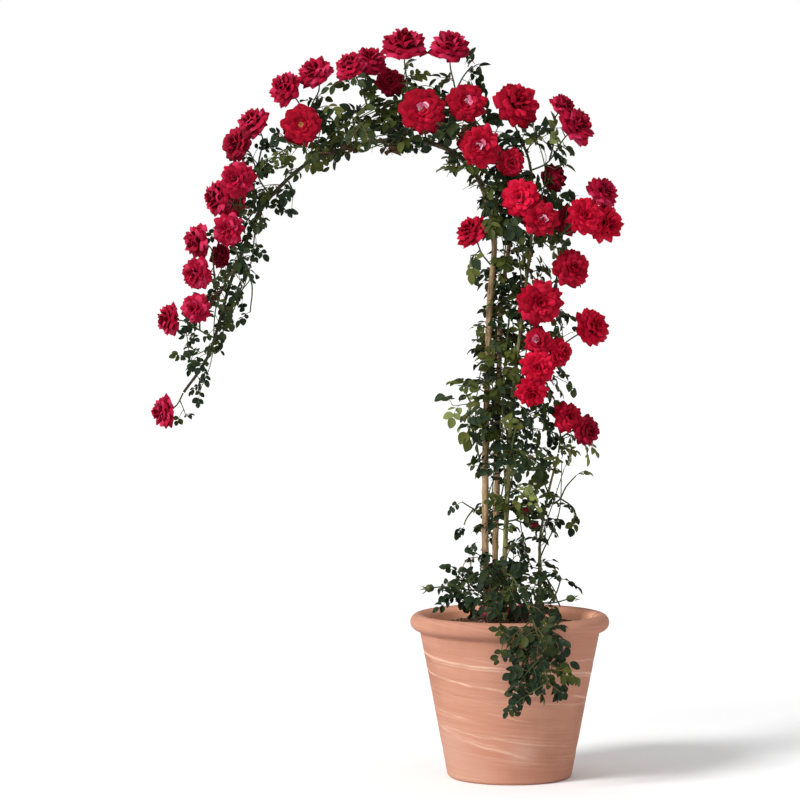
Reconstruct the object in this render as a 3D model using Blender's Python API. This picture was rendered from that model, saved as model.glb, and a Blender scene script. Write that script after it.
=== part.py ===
"""Climbing rose in a terracotta pot: pot, soil, tapering canes and sprays of leaf and bloom.

Metres, +Z up. The origin is at the centre of the pot's foot and the arch leans to -X.
"""
import math
import random

import bmesh
import bpy
from mathutils import Matrix, Vector
from mathutils.bvhtree import BVHTree
from mathutils.kdtree import KDTree

# Clearances
GAP = 0.0003            # between touching pieces
TEST_MARGIN = 0.0012    # a candidate is swollen by this before it is tested
MERGE = 0.000002        # corners nearer than this are one

# Pot, as radii and heights of its turned profile
POT_HEIGHT = 0.410
BODY_TOP_RADIUS = 0.2262
FOOT_RADIUS = 0.1575
FOOT_ROUND = 0.012
ROLL_CENTRE_RADIUS = 0.2288
ROLL_RADIUS = 0.0208
POT_WALL = 0.021
POT_FLOOR = 0.024
POT_SIDES = 36

# Soil
SOIL_TOP = 0.382
SOIL_FLAT_RADIUS = 0.125
SOIL_EDGE_DROP = 0.012
SOIL_CLEARANCE = 0.0015

# Canes: base radius, tip radius, flare at the foot, then the route from soil to tip
CANES = {
    "left": (0.0090, 0.0035, 0.008, (
        (-0.045, -0.010, SOIL_TOP), (-0.060, -0.020, 0.515), (-0.062, -0.020, 0.745),
        (-0.058, -0.020, 0.995), (-0.051, -0.015, 1.195), (-0.041, -0.010, 1.360),
        (-0.079, -0.005, 1.495), (-0.136, 0.000, 1.558), (-0.211, 0.000, 1.588),
        (-0.311, 0.000, 1.592), (-0.411, 0.000, 1.572), (-0.501, 0.000, 1.538),
        (-0.586, -0.005, 1.465), (-0.636, -0.010, 1.395), (-0.668, -0.010, 1.315),
        (-0.700, -0.010, 1.232), (-0.739, -0.010, 1.095), (-0.765, -0.010, 1.035),
        (-0.815, -0.005, 0.965))),
    "back": (0.0080, 0.0035, 0.007, (
        (-0.031, 0.020, SOIL_TOP), (-0.036, 0.030, 0.510), (-0.031, 0.030, 0.745),
        (-0.027, 0.030, 0.995), (-0.021, 0.030, 1.195), (0.000, 0.040, 1.360),
        (-0.015, 0.045, 1.520), (-0.074, 0.045, 1.620), (-0.174, 0.045, 1.670),
        (-0.274, 0.045, 1.690), (-0.374, 0.045, 1.670), (-0.461, 0.045, 1.625))),
    "green": (0.0065, 0.0030, 0.005, (
        (-0.013, -0.030, SOIL_TOP), (-0.016, -0.040, 0.490), (-0.011, -0.045, 0.623),
        (-0.004, -0.045, 0.798), (0.004, -0.040, 0.947), (0.019, -0.030, 1.071),
        (0.034, -0.020, 1.195), (0.049, -0.010, 1.320), (0.057, 0.000, 1.432),
        (0.049, 0.000, 1.531), (0.025, 0.000, 1.600))),
    "side": (0.0045, 0.0025, 0.004, (
        (0.055, 0.000, SOIL_TOP), (0.076, 0.000, 0.480), (0.076, 0.000, 0.594),
        (0.096, 0.000, 0.710), (0.121, 0.000, 0.810))),
}

# Each cane is cut into limbs where it bends round the arch: limb name, share where it ends
LIMBS = {
    "left": (("stem_left", 0.445), ("arch_rise", 0.560), ("arch_top", 0.690),
             ("arch_fall", 0.815), ("arch_tail", 1.0)),
    "back": (("stem_back", 0.500), ("back_rise", 0.755), ("back_top", 1.0)),
    "green": (("stem_young", 1.0),),
    "side": (("stem_side", 1.0),),
}
CANE_SIDES = 8
CANE_STEP = 0.062       # ring spacing on a cane
FLARE_HEIGHT = 0.022

# Sprays: name, cane, share of the cane where it grows, then its ends.
# An end is x, y, z, bloom diameter (0 on a leafy end), turn from -Y towards +X, lift.
SPRAYS = (
    ("spray_tail_end", "left", 1.000, ((-0.870, 0.000, 0.915, 0.072, -70, -5),)),
    ("spray_tail_inner", "left", 0.945, ((-0.695, 0.040, 1.015, 0, 0, 0),)),
    ("spray_tail_outer", "left", 0.930, ((-0.855, -0.010, 1.145, 0.072, -75, -5),
                                         (-0.785, -0.060, 1.175, 0.074, -30, -5),
                                         (-0.835, -0.030, 1.070, 0, 0, 0))),
    ("spray_tail_upper", "left", 0.878, ((-0.785, -0.010, 1.340, 0.076, -70, 0),
                                         (-0.785, -0.050, 1.260, 0.078, -45, -5))),
    ("spray_fall_low", "left", 0.838, ((-0.705, -0.070, 1.370, 0.080, -30, 0),
                                       (-0.730, 0.030, 1.305, 0.060, -50, 0))),
    ("spray_fall_inner", "left", 0.850, ((-0.625, -0.020, 1.280, 0, 0, 0),
                                         (-0.650, 0.010, 1.140, 0, 0, 0))),
    ("spray_fall_mid", "left", 0.796, ((-0.735, -0.010, 1.450, 0.078, -75, 10),
                                       (-0.680, -0.075, 1.495, 0.088, -20, 5))),
    ("spray_fall_high", "left", 0.760, ((-0.685, -0.030, 1.585, 0.084, -50, 15),
                                        (-0.645, 0.010, 1.640, 0.080, -60, 40))),
    ("spray_bend_front", "left", 0.703, ((-0.520, -0.090, 1.630, 0.100, -5, 5),
                                         (-0.600, -0.050, 1.540, 0, 0, 0))),
    ("spray_bend_under", "left", 0.735, ((-0.550, 0.000, 1.395, 0, 0, 0),)),
    ("spray_top_left", "back", 1.000, ((-0.565, -0.010, 1.725, 0.082, -60, 30),
                                       (-0.490, 0.000, 1.765, 0.085, -45, 45))),
    ("spray_top_pair", "back", 0.930, ((-0.400, -0.030, 1.780, 0.075, -40, 50),
                                       (-0.350, 0.010, 1.795, 0.080, 15, 60))),
    ("spray_top_front", "left", 0.648, ((-0.395, -0.090, 1.660, 0, 0, 0),
                                        (-0.410, 0.010, 1.545, 0, 0, 0))),
    ("spray_top_crest", "back", 0.870, ((-0.265, 0.000, 1.835, 0.100, 0, 75),
                                        (-0.300, 0.070, 1.745, 0.075, 0, 20))),
    ("spray_top_right", "back", 0.800, ((-0.150, -0.010, 1.830, 0.092, 10, 65),
                                        (-0.065, -0.010, 1.800, 0, 0, 0))),
    ("spray_arch_front", "left", 0.572, ((-0.220, -0.120, 1.665, 0.115, 0, 5),)),
    ("spray_arch_under", "left", 0.600, ((-0.320, -0.010, 1.565, 0, 0, 0),
                                         (-0.250, -0.050, 1.555, 0, 0, 0))),
    ("spray_rise_high", "back", 0.752, ((-0.110, -0.090, 1.685, 0.102, 5, 15),)),
    ("spray_rise_front", "left", 0.512, ((-0.080, -0.110, 1.575, 0.105, -10, 0),
                                         (0.000, -0.065, 1.535, 0.072, 10, -10))),
    ("spray_rise_under", "left", 0.540, ((-0.180, -0.020, 1.515, 0, 0, 0),
                                         (-0.120, 0.020, 1.480, 0, 0, 0))),
    ("spray_shoot_top", "green", 1.000, ((0.020, -0.030, 1.685, 0.110, 35, 30),)),
    ("spray_shoot_right", "green", 0.930, ((0.170, -0.020, 1.630, 0.088, 55, 30),
                                           (0.135, 0.010, 1.680, 0.062, 60, 40))),
    ("spray_shoot_mid", "green", 0.880, ((0.115, 0.030, 1.500, 0.072, 130, 10),)),
    ("spray_column_top", "green", 0.805, ((0.075, -0.110, 1.395, 0.090, 5, 0),
                                          (0.020, -0.090, 1.450, 0.095, -15, 5))),
    ("spray_right_cluster", "green", 0.780, ((0.185, -0.070, 1.405, 0.090, 15, 5),
                                             (0.245, -0.020, 1.385, 0.090, 45, 0),
                                             (0.235, -0.010, 1.465, 0.078, 50, 30),
                                             (0.150, 0.050, 1.395, 0.080, 20, -10))),
    ("spray_left_bloom", "left", 0.400, ((-0.100, -0.030, 1.370, 0.076, -60, 40),
                                         (-0.125, -0.050, 1.290, 0, 0, 0))),
    ("spray_right_upper", "green", 0.680, ((0.155, -0.040, 1.275, 0.092, 25, 10),)),
    ("spray_big_bloom", "green", 0.618, ((0.070, -0.110, 1.190, 0.112, 5, 0),)),
    ("spray_right_shoot", "green", 0.550, ((0.210, -0.020, 1.130, 0.090, 50, 20),)),
    ("spray_column_front", "green", 0.505, ((0.065, -0.110, 1.030, 0.086, -5, -5),
                                            (0.125, -0.060, 1.065, 0.070, 60, 0),
                                            (0.065, -0.090, 1.095, 0.074, -15, 10),
                                            (0.050, -0.100, 0.965, 0.078, 0, -30))),
    ("spray_side_top", "side", 1.000, ((0.145, -0.050, 0.905, 0.074, 30, 10),
                                       (0.195, -0.040, 0.870, 0.070, 50, -5))),
    ("spray_side_mid", "side", 0.700, ((0.165, 0.000, 0.755, 0, 0, 0),
                                       (0.175, 0.000, 0.645, 0, 0, 0))),
    ("spray_left_mid", "left", 0.240, ((-0.140, -0.050, 0.995, 0, 0, 0),
                                       (-0.115, -0.045, 0.875, 0, 0, 0))),
    ("spray_left_high", "left", 0.330, ((-0.100, -0.060, 1.160, 0, 0, 0),)),
    ("spray_mid_front", "green", 0.350, ((0.010, -0.110, 0.875, 0, 0, 0),
                                         (0.055, -0.070, 0.800, 0, 0, 0))),
    ("spray_left_low", "left", 0.125, ((-0.130, -0.050, 0.700, 0, 0, 0),
                                       (-0.120, -0.030, 0.610, 0, 0, 0))),
    ("spray_buds", "green", 0.215, ((0.035, -0.065, 0.670, 0.034, 20, 40),
                                    (0.055, -0.055, 0.635, 0.026, 50, 10))),
    ("spray_base_left", "left", 0.040, ((-0.200, -0.020, 0.475, 0.026, -70, -10),
                                        (-0.175, 0.020, 0.545, 0, 0, 0),
                                        (-0.140, -0.060, 0.440, 0, 0, 0))),
    ("spray_base_front", "green", 0.075, ((-0.020, -0.120, 0.490, 0, 0, 0),)),
    ("spray_base_right", "side", 0.130, ((0.150, -0.030, 0.450, 0.024, 60, 10),
                                         (0.140, 0.010, 0.515, 0, 0, 0))),
    ("spray_trail", "green", 0.100, ((0.085, -0.290, 0.245, 0, 0, 0),)),
    ("spray_back_base", "back", 0.060, ((0.000, 0.130, 0.480, 0, 0, 0),)),
    ("spray_back_low", "back", 0.180, ((-0.060, 0.110, 0.680, 0, 0, 0),)),
    ("spray_back_mid", "back", 0.420, ((0.080, 0.100, 1.185, 0.085, 170, 0),
                                       (0.075, 0.105, 1.030, 0.080, 190, -5))),
    ("spray_back_high", "back", 0.560, ((0.060, 0.115, 1.420, 0.090, 180, 0),)),
    ("spray_back_arch", "back", 0.770, ((-0.210, 0.115, 1.660, 0.095, 180, 15),
                                        (-0.085, 0.120, 1.600, 0.090, 165, 5))),
    ("spray_back_fall", "left", 0.780, ((-0.660, 0.085, 1.430, 0.080, 200, 5),)),
    ("spray_back_bend", "back", 0.985, ((-0.530, 0.095, 1.625, 0.085, 190, 15),)),
)
TRAIL = "spray_trail"   # the one spray that arches over the rim and hangs
TRAIL_LEAVE = Vector((0.05, -0.80, 0.42))
TRAIL_ARRIVE = Vector((0.05, 0.05, -1.0))
SEED = 1380

# How far the crown reaches
CROWN_LEFT = -0.895
CROWN_RIGHT = 0.288
CROWN_TOP = 1.870
TAIL_BOTTOM = 0.878     # lowest leaf tip on the hanging half of the arch

# Stems, twigs and leaves
STEM_SIDES = 3
STEM_RADIUS = 0.0030
STEM_TIP_RADIUS = 0.0021
TWIG_RADIUS = 0.0021
TWIG_TIP_RADIUS = 0.0015
STEM_STEP = 0.034
NODE_PITCH = 0.045
GOLDEN_TURN = math.radians(137.5)
TWIG_LENGTH = 0.075
TWIG_LEAVES = (0.50, 0.78)
LEAF_LENGTH = 0.096
LEAF_WIDTH = 0.056
LEAF_TAPER = 0.28       # how much smaller leaves are at the arch's tail
TAIL_REACH = 0.85
ARCH_START = 0.10
POT_FLATTEN = 0.3       # how much of its reach away from the pot a hanging leaf keeps
LEAF_SHOULDER = 0.46    # where along its length a blade is widest
LEAF_ARCH = 0.0025      # how far the blade's shoulders stand above its root
LEAF_DROOP = 0.006
LEAF_ROOT = 0.0011      # half the width of the root triangle
LEAF_ROOT_RISE = 0.0008
LEAF_KEEL = 0.0022
LEAF_TURN = 1.9         # from a twig's own turn to that of its first leaf
OWN_START = 0.014       # a leaf or twig is tested against its own spray from here outwards
SPACE_SLACK = 0.018     # how much nearer a neighbour's stem may be than its own
FORK_SHARE = 0.35
FORK_STEP = 0.16
SEAT_FEELERS = 24
SEAT_REACH = 0.03       # from how far out a stem's seat on its cane is felt for
CALYX = 0.30            # a bloom's foot lies this share of its diameter behind its centre
SINK = 0.004            # a stem runs this far into its bloom
FLAT_ANGLE = 0.05       # degrees below which a joined mass's faces count as one

# A bloom's rings: radius and height as shares of its diameter; the rim is lobed
BLOOM_FOOT = -0.33
BLOOM_RINGS = ((0.31, -0.19), (0.50, 0.03), (0.28, 0.20))
BLOOM_RIM = 1
BLOOM_SIDES = 8
BLOOM_LOBE = 0.84
BLOOM_HEART = 0.17


def clear_scene():
    for item in list(bpy.data.objects):
        bpy.data.objects.remove(item)


def material(name, colour, roughness):
    made = bpy.data.materials.new(name)
    made.use_nodes = True
    shader = made.node_tree.nodes["Principled BSDF"]
    shader.inputs["Base Color"].default_value = (*colour, 1.0)
    shader.inputs["Roughness"].default_value = roughness
    return made


def finish(name, shape, look, sharp=None):
    """Turn a bmesh into a named object; round pieces are shaded smooth up to the sharp angle."""
    bmesh.ops.recalc_face_normals(shape, faces=shape.faces)
    mesh = bpy.data.meshes.new(name)
    shape.to_mesh(mesh)
    shape.free()
    mesh.materials.append(look)
    if sharp:
        mesh.shade_smooth()
        mesh.set_sharp_from_angle(angle=math.radians(sharp))
    made = bpy.data.objects.new(name, mesh)
    bpy.context.scene.collection.objects.link(made)
    return made


# ---------------------------------------------------------------- turned pieces

def arc(centre, radius, start, stop, count):
    """Points round a centre in the profile's plane, angles in degrees from +r."""
    turns = [math.radians(start + (stop - start) * i / count) for i in range(count + 1)]
    return [(centre[0] + radius * math.cos(t), centre[1] + radius * math.sin(t)) for t in turns]


def turned(profile):
    """Spin a profile of (radius, height) that starts and ends on the axis."""
    shape = bmesh.new()
    points = [shape.verts.new((r, 0.0, z)) for r, z in profile]
    edges = [shape.edges.new(pair) for pair in zip(points, points[1:])]
    bmesh.ops.spin(shape, geom=points + edges, cent=(0, 0, 0), axis=(0, 0, 1),
                   angle=2 * math.pi, steps=POT_SIDES, use_merge=True)
    bmesh.ops.remove_doubles(shape, verts=shape.verts, dist=1e-5)
    return shape


def inner_radius(height):
    """Radius of the pot's hollow at a height."""
    share = (height - POT_FLOOR) / (POT_HEIGHT - POT_FLOOR)
    low = FOOT_RADIUS - POT_WALL
    high = ROLL_CENTRE_RADIUS - ROLL_RADIUS
    return low + (high - low) * share


def pot_shape():
    roll = (ROLL_CENTRE_RADIUS, POT_HEIGHT - ROLL_RADIUS)
    foot = (FOOT_RADIUS - FOOT_ROUND, FOOT_ROUND)
    profile = [(0.0, POT_FLOOR), (inner_radius(POT_FLOOR), POT_FLOOR)]
    profile += [(inner_radius(roll[1]), roll[1])]
    profile += arc(roll, ROLL_RADIUS, 165, -70, 8)
    profile += [(BODY_TOP_RADIUS, POT_HEIGHT - 2 * ROLL_RADIUS)]
    profile += arc(foot, FOOT_ROUND, 0, -90, 3)
    profile += [(0.0, 0.0)]
    return turned(profile)


def soil_shape():
    floor = POT_FLOOR + GAP
    edge = SOIL_TOP - SOIL_EDGE_DROP
    profile = [(0.0, floor), (inner_radius(floor) - SOIL_CLEARANCE, floor),
               (inner_radius(edge) - SOIL_CLEARANCE, edge),
               (inner_radius(edge) - 0.030, edge + 0.4 * SOIL_EDGE_DROP),
               (SOIL_FLAT_RADIUS, SOIL_TOP - GAP), (0.0, SOIL_TOP - GAP)]
    return turned(profile)


# ---------------------------------------------------------------- paths and tubes

class Path:
    """A polyline that is read by its share of length."""

    def __init__(self, points):
        self.points = [Vector(p) for p in points]
        self.runs = [0.0]
        for a, b in zip(self.points, self.points[1:]):
            self.runs.append(self.runs[-1] + (b - a).length)
        self.length = self.runs[-1]

    def at(self, share):
        """Point and direction at a share of the length."""
        want = min(max(share, 0.0), 1.0) * self.length
        i = 0
        while i < len(self.runs) - 2 and self.runs[i + 1] < want:
            i += 1
        a, b = self.points[i], self.points[i + 1]
        point = a.lerp(b, (want - self.runs[i]) / (self.runs[i + 1] - self.runs[i]))
        before = self.points[max(i - 1, 0)]
        after = self.points[min(i + 2, len(self.points) - 1)]
        part = (want - self.runs[i]) / (self.runs[i + 1] - self.runs[i])
        direction = (b - before).normalized().lerp((after - a).normalized(), part)
        return point, direction.normalized()


def smooth_path(knots, step=0.010):
    """Catmull-Rom curve through the knots."""
    knots = [Vector(k) for k in knots]
    ends = [2 * knots[0] - knots[1], *knots, 2 * knots[-1] - knots[-2]]
    points = [knots[0]]
    for a, b, c, d in zip(ends, ends[1:], ends[2:], ends[3:]):
        count = max(2, round((c - b).length / step))
        for i in range(1, count + 1):
            t = i / count
            points.append(0.5 * (2 * b + (c - a) * t + (2 * a - 5 * b + 4 * c - d) * t * t
                                 + (3 * b - a - 3 * c + d) * t ** 3))
    return Path(points)


def bezier_path(start, leave, end, arrive):
    """Cubic curve from start to end with its two pull vectors, as short straight runs."""
    near, far = start + leave, end - arrive
    count = max(2, round((end - start).length / STEM_STEP))
    points = []
    for i in range(count + 1):
        t = i / count
        u = 1 - t
        points.append(u ** 3 * start + 3 * u * u * t * near + 3 * u * t * t * far + t ** 3 * end)
    return Path(points)


def sideways(direction, turn):
    """Unit vector square to a direction, turned about it."""
    base = Vector((0, 0, 1)) if abs(direction.z) < 0.9 else Vector((1, 0, 0))
    side = direction.cross(base).normalized()
    return Matrix.Rotation(turn, 3, direction) @ side


def tube(spots, radii, sides):
    """Closed tube with a ring square to the way at each (point, direction) of the spots."""
    shape = bmesh.new()
    side = sideways(spots[0][1], 0.0)
    rings = []
    for (point, direction), radius in zip(spots, radii):
        side = (side - direction * side.dot(direction)).normalized()
        other = direction.cross(side)
        ring = []
        for k in range(sides):
            turn = 2 * math.pi * k / sides
            spoke = side * math.cos(turn) + other * math.sin(turn)
            ring.append(shape.verts.new(point + spoke * radius))
        rings.append(ring)
    for low, high in zip(rings, rings[1:]):
        for k in range(sides):
            shape.faces.new((low[k], low[(k + 1) % sides], high[(k + 1) % sides], high[k]))
    shape.faces.new(list(reversed(rings[0])))
    shape.faces.new(rings[-1])
    return shape


def cane_radius(cane, path, share):
    base, tip, flare, _ = CANES[cane]
    return base + (tip - base) * share + flare * math.exp(-share * path.length / FLARE_HEIGHT)


def limb_shapes(cane, path):
    """The limbs of one cane, cut square to it and a gap apart."""
    shapes = []
    start = 0.0
    for name, stop in LIMBS[cane]:
        last = stop - (GAP / path.length if stop < 1 else 0)
        count = max(1, round((last - start) * path.length / CANE_STEP))
        shares = [start + (last - start) * i / count for i in range(count + 1)]
        shape = tube([path.at(s) for s in shares], [cane_radius(cane, path, s) for s in shares],
                     CANE_SIDES)
        if start == 0.0:
            shape.verts.ensure_lookup_table()
            for vert in shape.verts[:CANE_SIDES]:
                vert.co.z = SOIL_TOP
        shapes.append((name, shape))
        start = stop
    return shapes


# ---------------------------------------------------------------- growth rule

def facing(turn, lift):
    turn, lift = math.radians(turn), math.radians(lift)
    return Vector((math.sin(turn) * math.cos(lift), -math.cos(turn) * math.cos(lift),
                   math.sin(lift)))


def stem_paths(row, canes):
    """The spray's own stem and the side stems to its other ends."""
    name, cane, share, ends = row
    point, along = canes[cane].at(share)
    stems = []
    for k, (x, y, z, size, turn, lift) in enumerate(ends):
        centre = Vector((x, y, z))
        look = facing(turn, lift)
        end = centre - look * (CALYX * size - SINK) if size else centre
        if k == 0:
            towards = (end - point).normalized()
            leave = along if share == 1.0 else (towards - along * towards.dot(along)).normalized()
            start = point + leave * cane_radius(cane, canes[cane], share)
        else:
            start, along = stems[0].at(FORK_SHARE + FORK_STEP * (k - 1))
            towards = (end - start).normalized()
            leave = (towards + 0.6 * along).normalized()
        span = (end - start).length
        arrive = look if size else (towards + Vector((0, 0, -0.35))).normalized()
        if name == TRAIL:
            leave, arrive = TRAIL_LEAVE, TRAIL_ARRIVE
        stems.append(bezier_path(start, leave * span * 0.42, end, arrive * span * 0.38))
    return stems


def outward_up(point, rng):
    """A leaf's upper side looks up and away from the plant's middle line."""
    under_arch = point.x < -ARCH_START
    away = Vector((0.0 if under_arch else point.x + 0.02, point.y, 0.0)).normalized()
    loose = Vector((rng.uniform(-1, 1), rng.uniform(-1, 1), rng.uniform(-1, 1)))
    return (away * 0.75 + Vector((0, 0, 0.7)) + loose * 0.45).normalized()


def leaf_length(point, share):
    """Leaves get smaller towards the arch's tail."""
    return LEAF_LENGTH * share * (1 - LEAF_TAPER * min(1.0, max(0.0, -point.x / TAIL_REACH)))


def leaf_spot(point, along, turn, rng):
    """Root, direction, upper side and length of a leaf at a node; it lies flat along the pot."""
    side = sideways(along, turn)
    direction = side + along * rng.uniform(0.25, 0.75) + Vector((0, 0, -0.30))
    if point.y < -BODY_TOP_RADIUS:
        direction.y *= POT_FLATTEN
    direction.normalize()
    size = leaf_length(point, rng.uniform(0.84, 1.12))
    return point, direction, outward_up(point, rng), size


def grow(row, index, stems):
    """Twigs and leaf spots of one spray; every node draws the same count of numbers."""
    rng = random.Random(SEED + index)
    twigs, leaves = [], []
    turn = rng.uniform(0, 2 * math.pi)
    for stem, end in zip(stems, row[3]):
        count = max(2, round(stem.length / NODE_PITCH))
        for i in range(count):
            share = (i + 0.75) / (count + 0.35)
            point, along = stem.at(share)
            turn += GOLDEN_TURN + rng.uniform(-0.3, 0.3)
            if i % 2 == 0:
                length = TWIG_LENGTH * rng.uniform(0.55, 1.0)
                leave = (sideways(along, turn) + along * 0.55).normalized()
                tip = point + leave * length + Vector((0, 0, rng.uniform(-0.3, 0.15))) * length
                twig = bezier_path(point, leave * length * 0.4, tip,
                                   (tip - point).normalized() * length * 0.3)
                its_leaves = [leaf_spot(*twig.at(place), turn + LEAF_TURN + k * GOLDEN_TURN, rng)
                              for k, place in enumerate(TWIG_LEAVES)]
                twigs.append((twig, its_leaves + [end_leaf(twig, rng)]))
            else:
                leaves.append(leaf_spot(point, along, turn, rng))
        if end[3] == 0:
            leaves.append(end_leaf(stem, rng))
    return twigs, leaves


def end_leaf(path, rng):
    point, along = path.at(0.97)
    droop = Vector((0, 0, -rng.uniform(0.1, 0.5)))
    size = leaf_length(point, rng.uniform(0.9, 1.15))
    return point, (along + droop).normalized(), outward_up(point, rng), size


# ---------------------------------------------------------------- leaves and blooms

def leaf_shape(spot, start=0.0):
    """Blade of eight faces: a root triangle, two shoulders and a tip over a keel."""
    root, direction, upper, length = spot
    side = direction.cross(upper).normalized()
    normal = side.cross(direction).normalized()
    width = LEAF_WIDTH * length / LEAF_LENGTH
    root = root + direction * start
    shoulder = root + direction * (LEAF_SHOULDER * length - start) + normal * LEAF_ARCH
    rise = normal * LEAF_ROOT_RISE
    tip = root + direction * (length - start) - normal * LEAF_DROOP
    corners = (root + side * LEAF_ROOT + rise, root - side * LEAF_ROOT + rise,
               root - normal * LEAF_KEEL,
               shoulder + side * width / 2, shoulder - side * width / 2, tip)
    shape = bmesh.new()
    a, b, keel, left, right, tip = [shape.verts.new(c) for c in corners]
    for face in ((left, right, tip), (a, b, right), (a, right, left), (a, left, keel),
                 (keel, left, tip), (keel, tip, right), (keel, right, b), (a, keel, b)):
        shape.faces.new(face)
    bmesh.ops.recalc_face_normals(shape, faces=shape.faces)
    return shape


def bloom_shape(end):
    """Cupped bloom with a lobed rim; its axis looks along the end's facing."""
    x, y, z, size, turn, lift = end
    axis = facing(turn, lift)
    side = sideways(axis, 0.0)
    other = axis.cross(side)
    centre = Vector((x, y, z))
    shape = bmesh.new()
    rings = []
    for level, (radius, height) in enumerate(BLOOM_RINGS):
        ring = []
        for k in range(BLOOM_SIDES):
            angle = 2 * math.pi * k / BLOOM_SIDES
            lobe = BLOOM_LOBE if level == BLOOM_RIM and k % 2 else 1.0
            spoke = side * math.cos(angle) + other * math.sin(angle)
            ring.append(shape.verts.new(centre + (spoke * radius * lobe + axis * height) * size))
        rings.append(ring)
    for low, high in zip(rings, rings[1:]):
        for k in range(BLOOM_SIDES):
            following = (k + 1) % BLOOM_SIDES
            shape.faces.new((low[k], low[following], high[following], high[k]))
    foot = shape.verts.new(centre + axis * BLOOM_FOOT * size)
    heart = shape.verts.new(centre + axis * BLOOM_HEART * size)
    for k in range(BLOOM_SIDES):
        following = (k + 1) % BLOOM_SIDES
        shape.faces.new((rings[0][following], rings[0][k], foot))
        shape.faces.new((rings[-1][k], rings[-1][following], heart))
    return shape


# ---------------------------------------------------------------- keeping clear

class Piece:
    """A solid that candidates are tested against."""

    def __init__(self, shape, owner):
        middle = sum((v.co for v in shape.verts), Vector()) / len(shape.verts)
        self.middle = middle
        self.reach = max((v.co - middle).length for v in shape.verts)
        self.tree = BVHTree.FromBMesh(shape)
        self.owner = owner


def swollen(shape):
    """Push a candidate's corners outwards so that what passes keeps a gap."""
    shape.normal_update()
    for vert in shape.verts:
        vert.co += vert.normal * TEST_MARGIN
    return shape


def touches(candidate, pieces, owned, owner):
    """Whether a candidate meets pieces of other owners, or of its own when owned is set."""
    test = Piece(candidate, owner)
    candidate.free()
    for piece in pieces:
        if (piece.owner == owner) != owned:
            continue
        if (piece.middle - test.middle).length > piece.reach + test.reach:
            continue
        if piece.tree.overlap(test.tree):
            return True
    return False


def in_own_space(point, owner, stem_tree, owners):
    """Whether a tip is inside the crown and no other spray's stem is much nearer than its own."""
    if not CROWN_LEFT < point.x < CROWN_RIGHT or point.z > CROWN_TOP:
        return False
    if point.x < CROWN_LEFT / 2 and point.z < TAIL_BOTTOM:
        return False
    own = None
    nearest = None
    for _, index, distance in stem_tree.find_n(point, 60):
        nearest = distance if nearest is None else nearest
        if owners[index] == owner:
            own = distance
            break
    return own is not None and own <= nearest + SPACE_SLACK


def stem_tube(path, radius, tip_radius, sides):
    """Tube along a stem or twig, ringed at the path's own points."""
    shares = [run / path.length for run in path.runs]
    spots = [(point, path.at(share)[1]) for point, share in zip(path.points, shares)]
    return tube(spots, [radius + (tip_radius - radius) * share for share in shares], sides)


def twig_tube(path, skip=0.0):
    """A twig, or its outer part from a length skip along it."""
    if skip:
        outer = [point for point, run in zip(path.points, path.runs) if run > skip]
        path = Path([path.at(skip / path.length)[0], *outer])
    return stem_tube(path, TWIG_RADIUS, TWIG_TIP_RADIUS, STEM_SIDES)


# ---------------------------------------------------------------- joining a mass

def union(name, shapes, look):
    """Join the shapes with one Boolean union on a collection and apply it.

    EXACT comes first; where it leaves an open seam, MANIFOLD joins the mass instead.
    """
    made = finish(name, shapes[0], look)
    group = bpy.data.collections.new(name + "_parts")
    for i, shape in enumerate(shapes[1:]):
        part = finish(f"{name}_part{i}", shape, look)
        bpy.context.scene.collection.objects.unlink(part)
        group.objects.link(part)
    joint = made.modifiers.new("join", 'BOOLEAN')
    joint.operation = 'UNION'
    joint.operand_type = 'COLLECTION'
    joint.collection = group
    for solver, flatten in (('EXACT', True), ('EXACT', False), ('MANIFOLD', False)):
        joint.solver = solver
        bpy.context.view_layer.update()
        joined = bpy.data.meshes.new_from_object(made.evaluated_get(
            bpy.context.evaluated_depsgraph_get()))
        if keep_largest(joined, flatten):
            break
    made.modifiers.clear()
    made.data = joined
    for part in list(group.objects):
        bpy.data.objects.remove(part)
    bpy.data.collections.remove(group)
    return made


def keep_largest(mesh, flatten):
    """Drop loose scraps and sealed hollows; say whether the one body left is closed.

    Flatten also welds slivers and joins the faces that lie in one plane.
    """
    shape = bmesh.new()
    shape.from_mesh(mesh)
    if flatten:
        bmesh.ops.remove_doubles(shape, verts=shape.verts, dist=MERGE)
        bmesh.ops.dissolve_degenerate(shape, edges=shape.edges, dist=MERGE)
    left = set(shape.verts)
    bodies = []
    while left:
        front = [left.pop()]
        body = set(front)
        while front:
            for edge in front.pop().link_edges:
                for vert in edge.verts:
                    if vert not in body:
                        body.add(vert)
                        left.discard(vert)
                        front.append(vert)
        bodies.append(body)
    bodies.sort(key=len)
    for body in bodies[:-1]:
        bmesh.ops.delete(shape, geom=list(body), context='VERTS')
    if flatten:
        bmesh.ops.dissolve_limit(shape, angle_limit=math.radians(FLAT_ANGLE), verts=shape.verts,
                                 edges=shape.edges)
    bmesh.ops.triangulate(shape, faces=shape.faces)
    closed = all(edge.is_manifold for edge in shape.edges)
    shape.to_mesh(mesh)
    shape.free()
    return closed


def seat(row, stems, canes, limb_pieces):
    """Start the spray's stem one gap off its cane, clear at every corner of its flat end."""
    _, cane, share, _ = row
    point, along = canes[cane].at(share)
    if share == 1.0:
        stems[0] = Path([point + along * GAP, *stems[0].points[1:]])
        return along
    leave = (stems[0].points[0] - point).normalized()
    other = along.cross(leave)
    far = 0.0
    for i in range(SEAT_FEELERS):
        turn = 2 * math.pi * i / SEAT_FEELERS
        corner = (along * math.cos(turn) + other * math.sin(turn)) * STEM_RADIUS
        for piece in limb_pieces:
            hit = piece.tree.ray_cast(point + corner + leave * SEAT_REACH, -leave, SEAT_REACH)[0]
            if hit:
                far = max(far, (hit - point).dot(leave))
    stems[0] = Path([point + leave * (far + GAP), *stems[0].points[1:]])
    return leave


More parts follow.
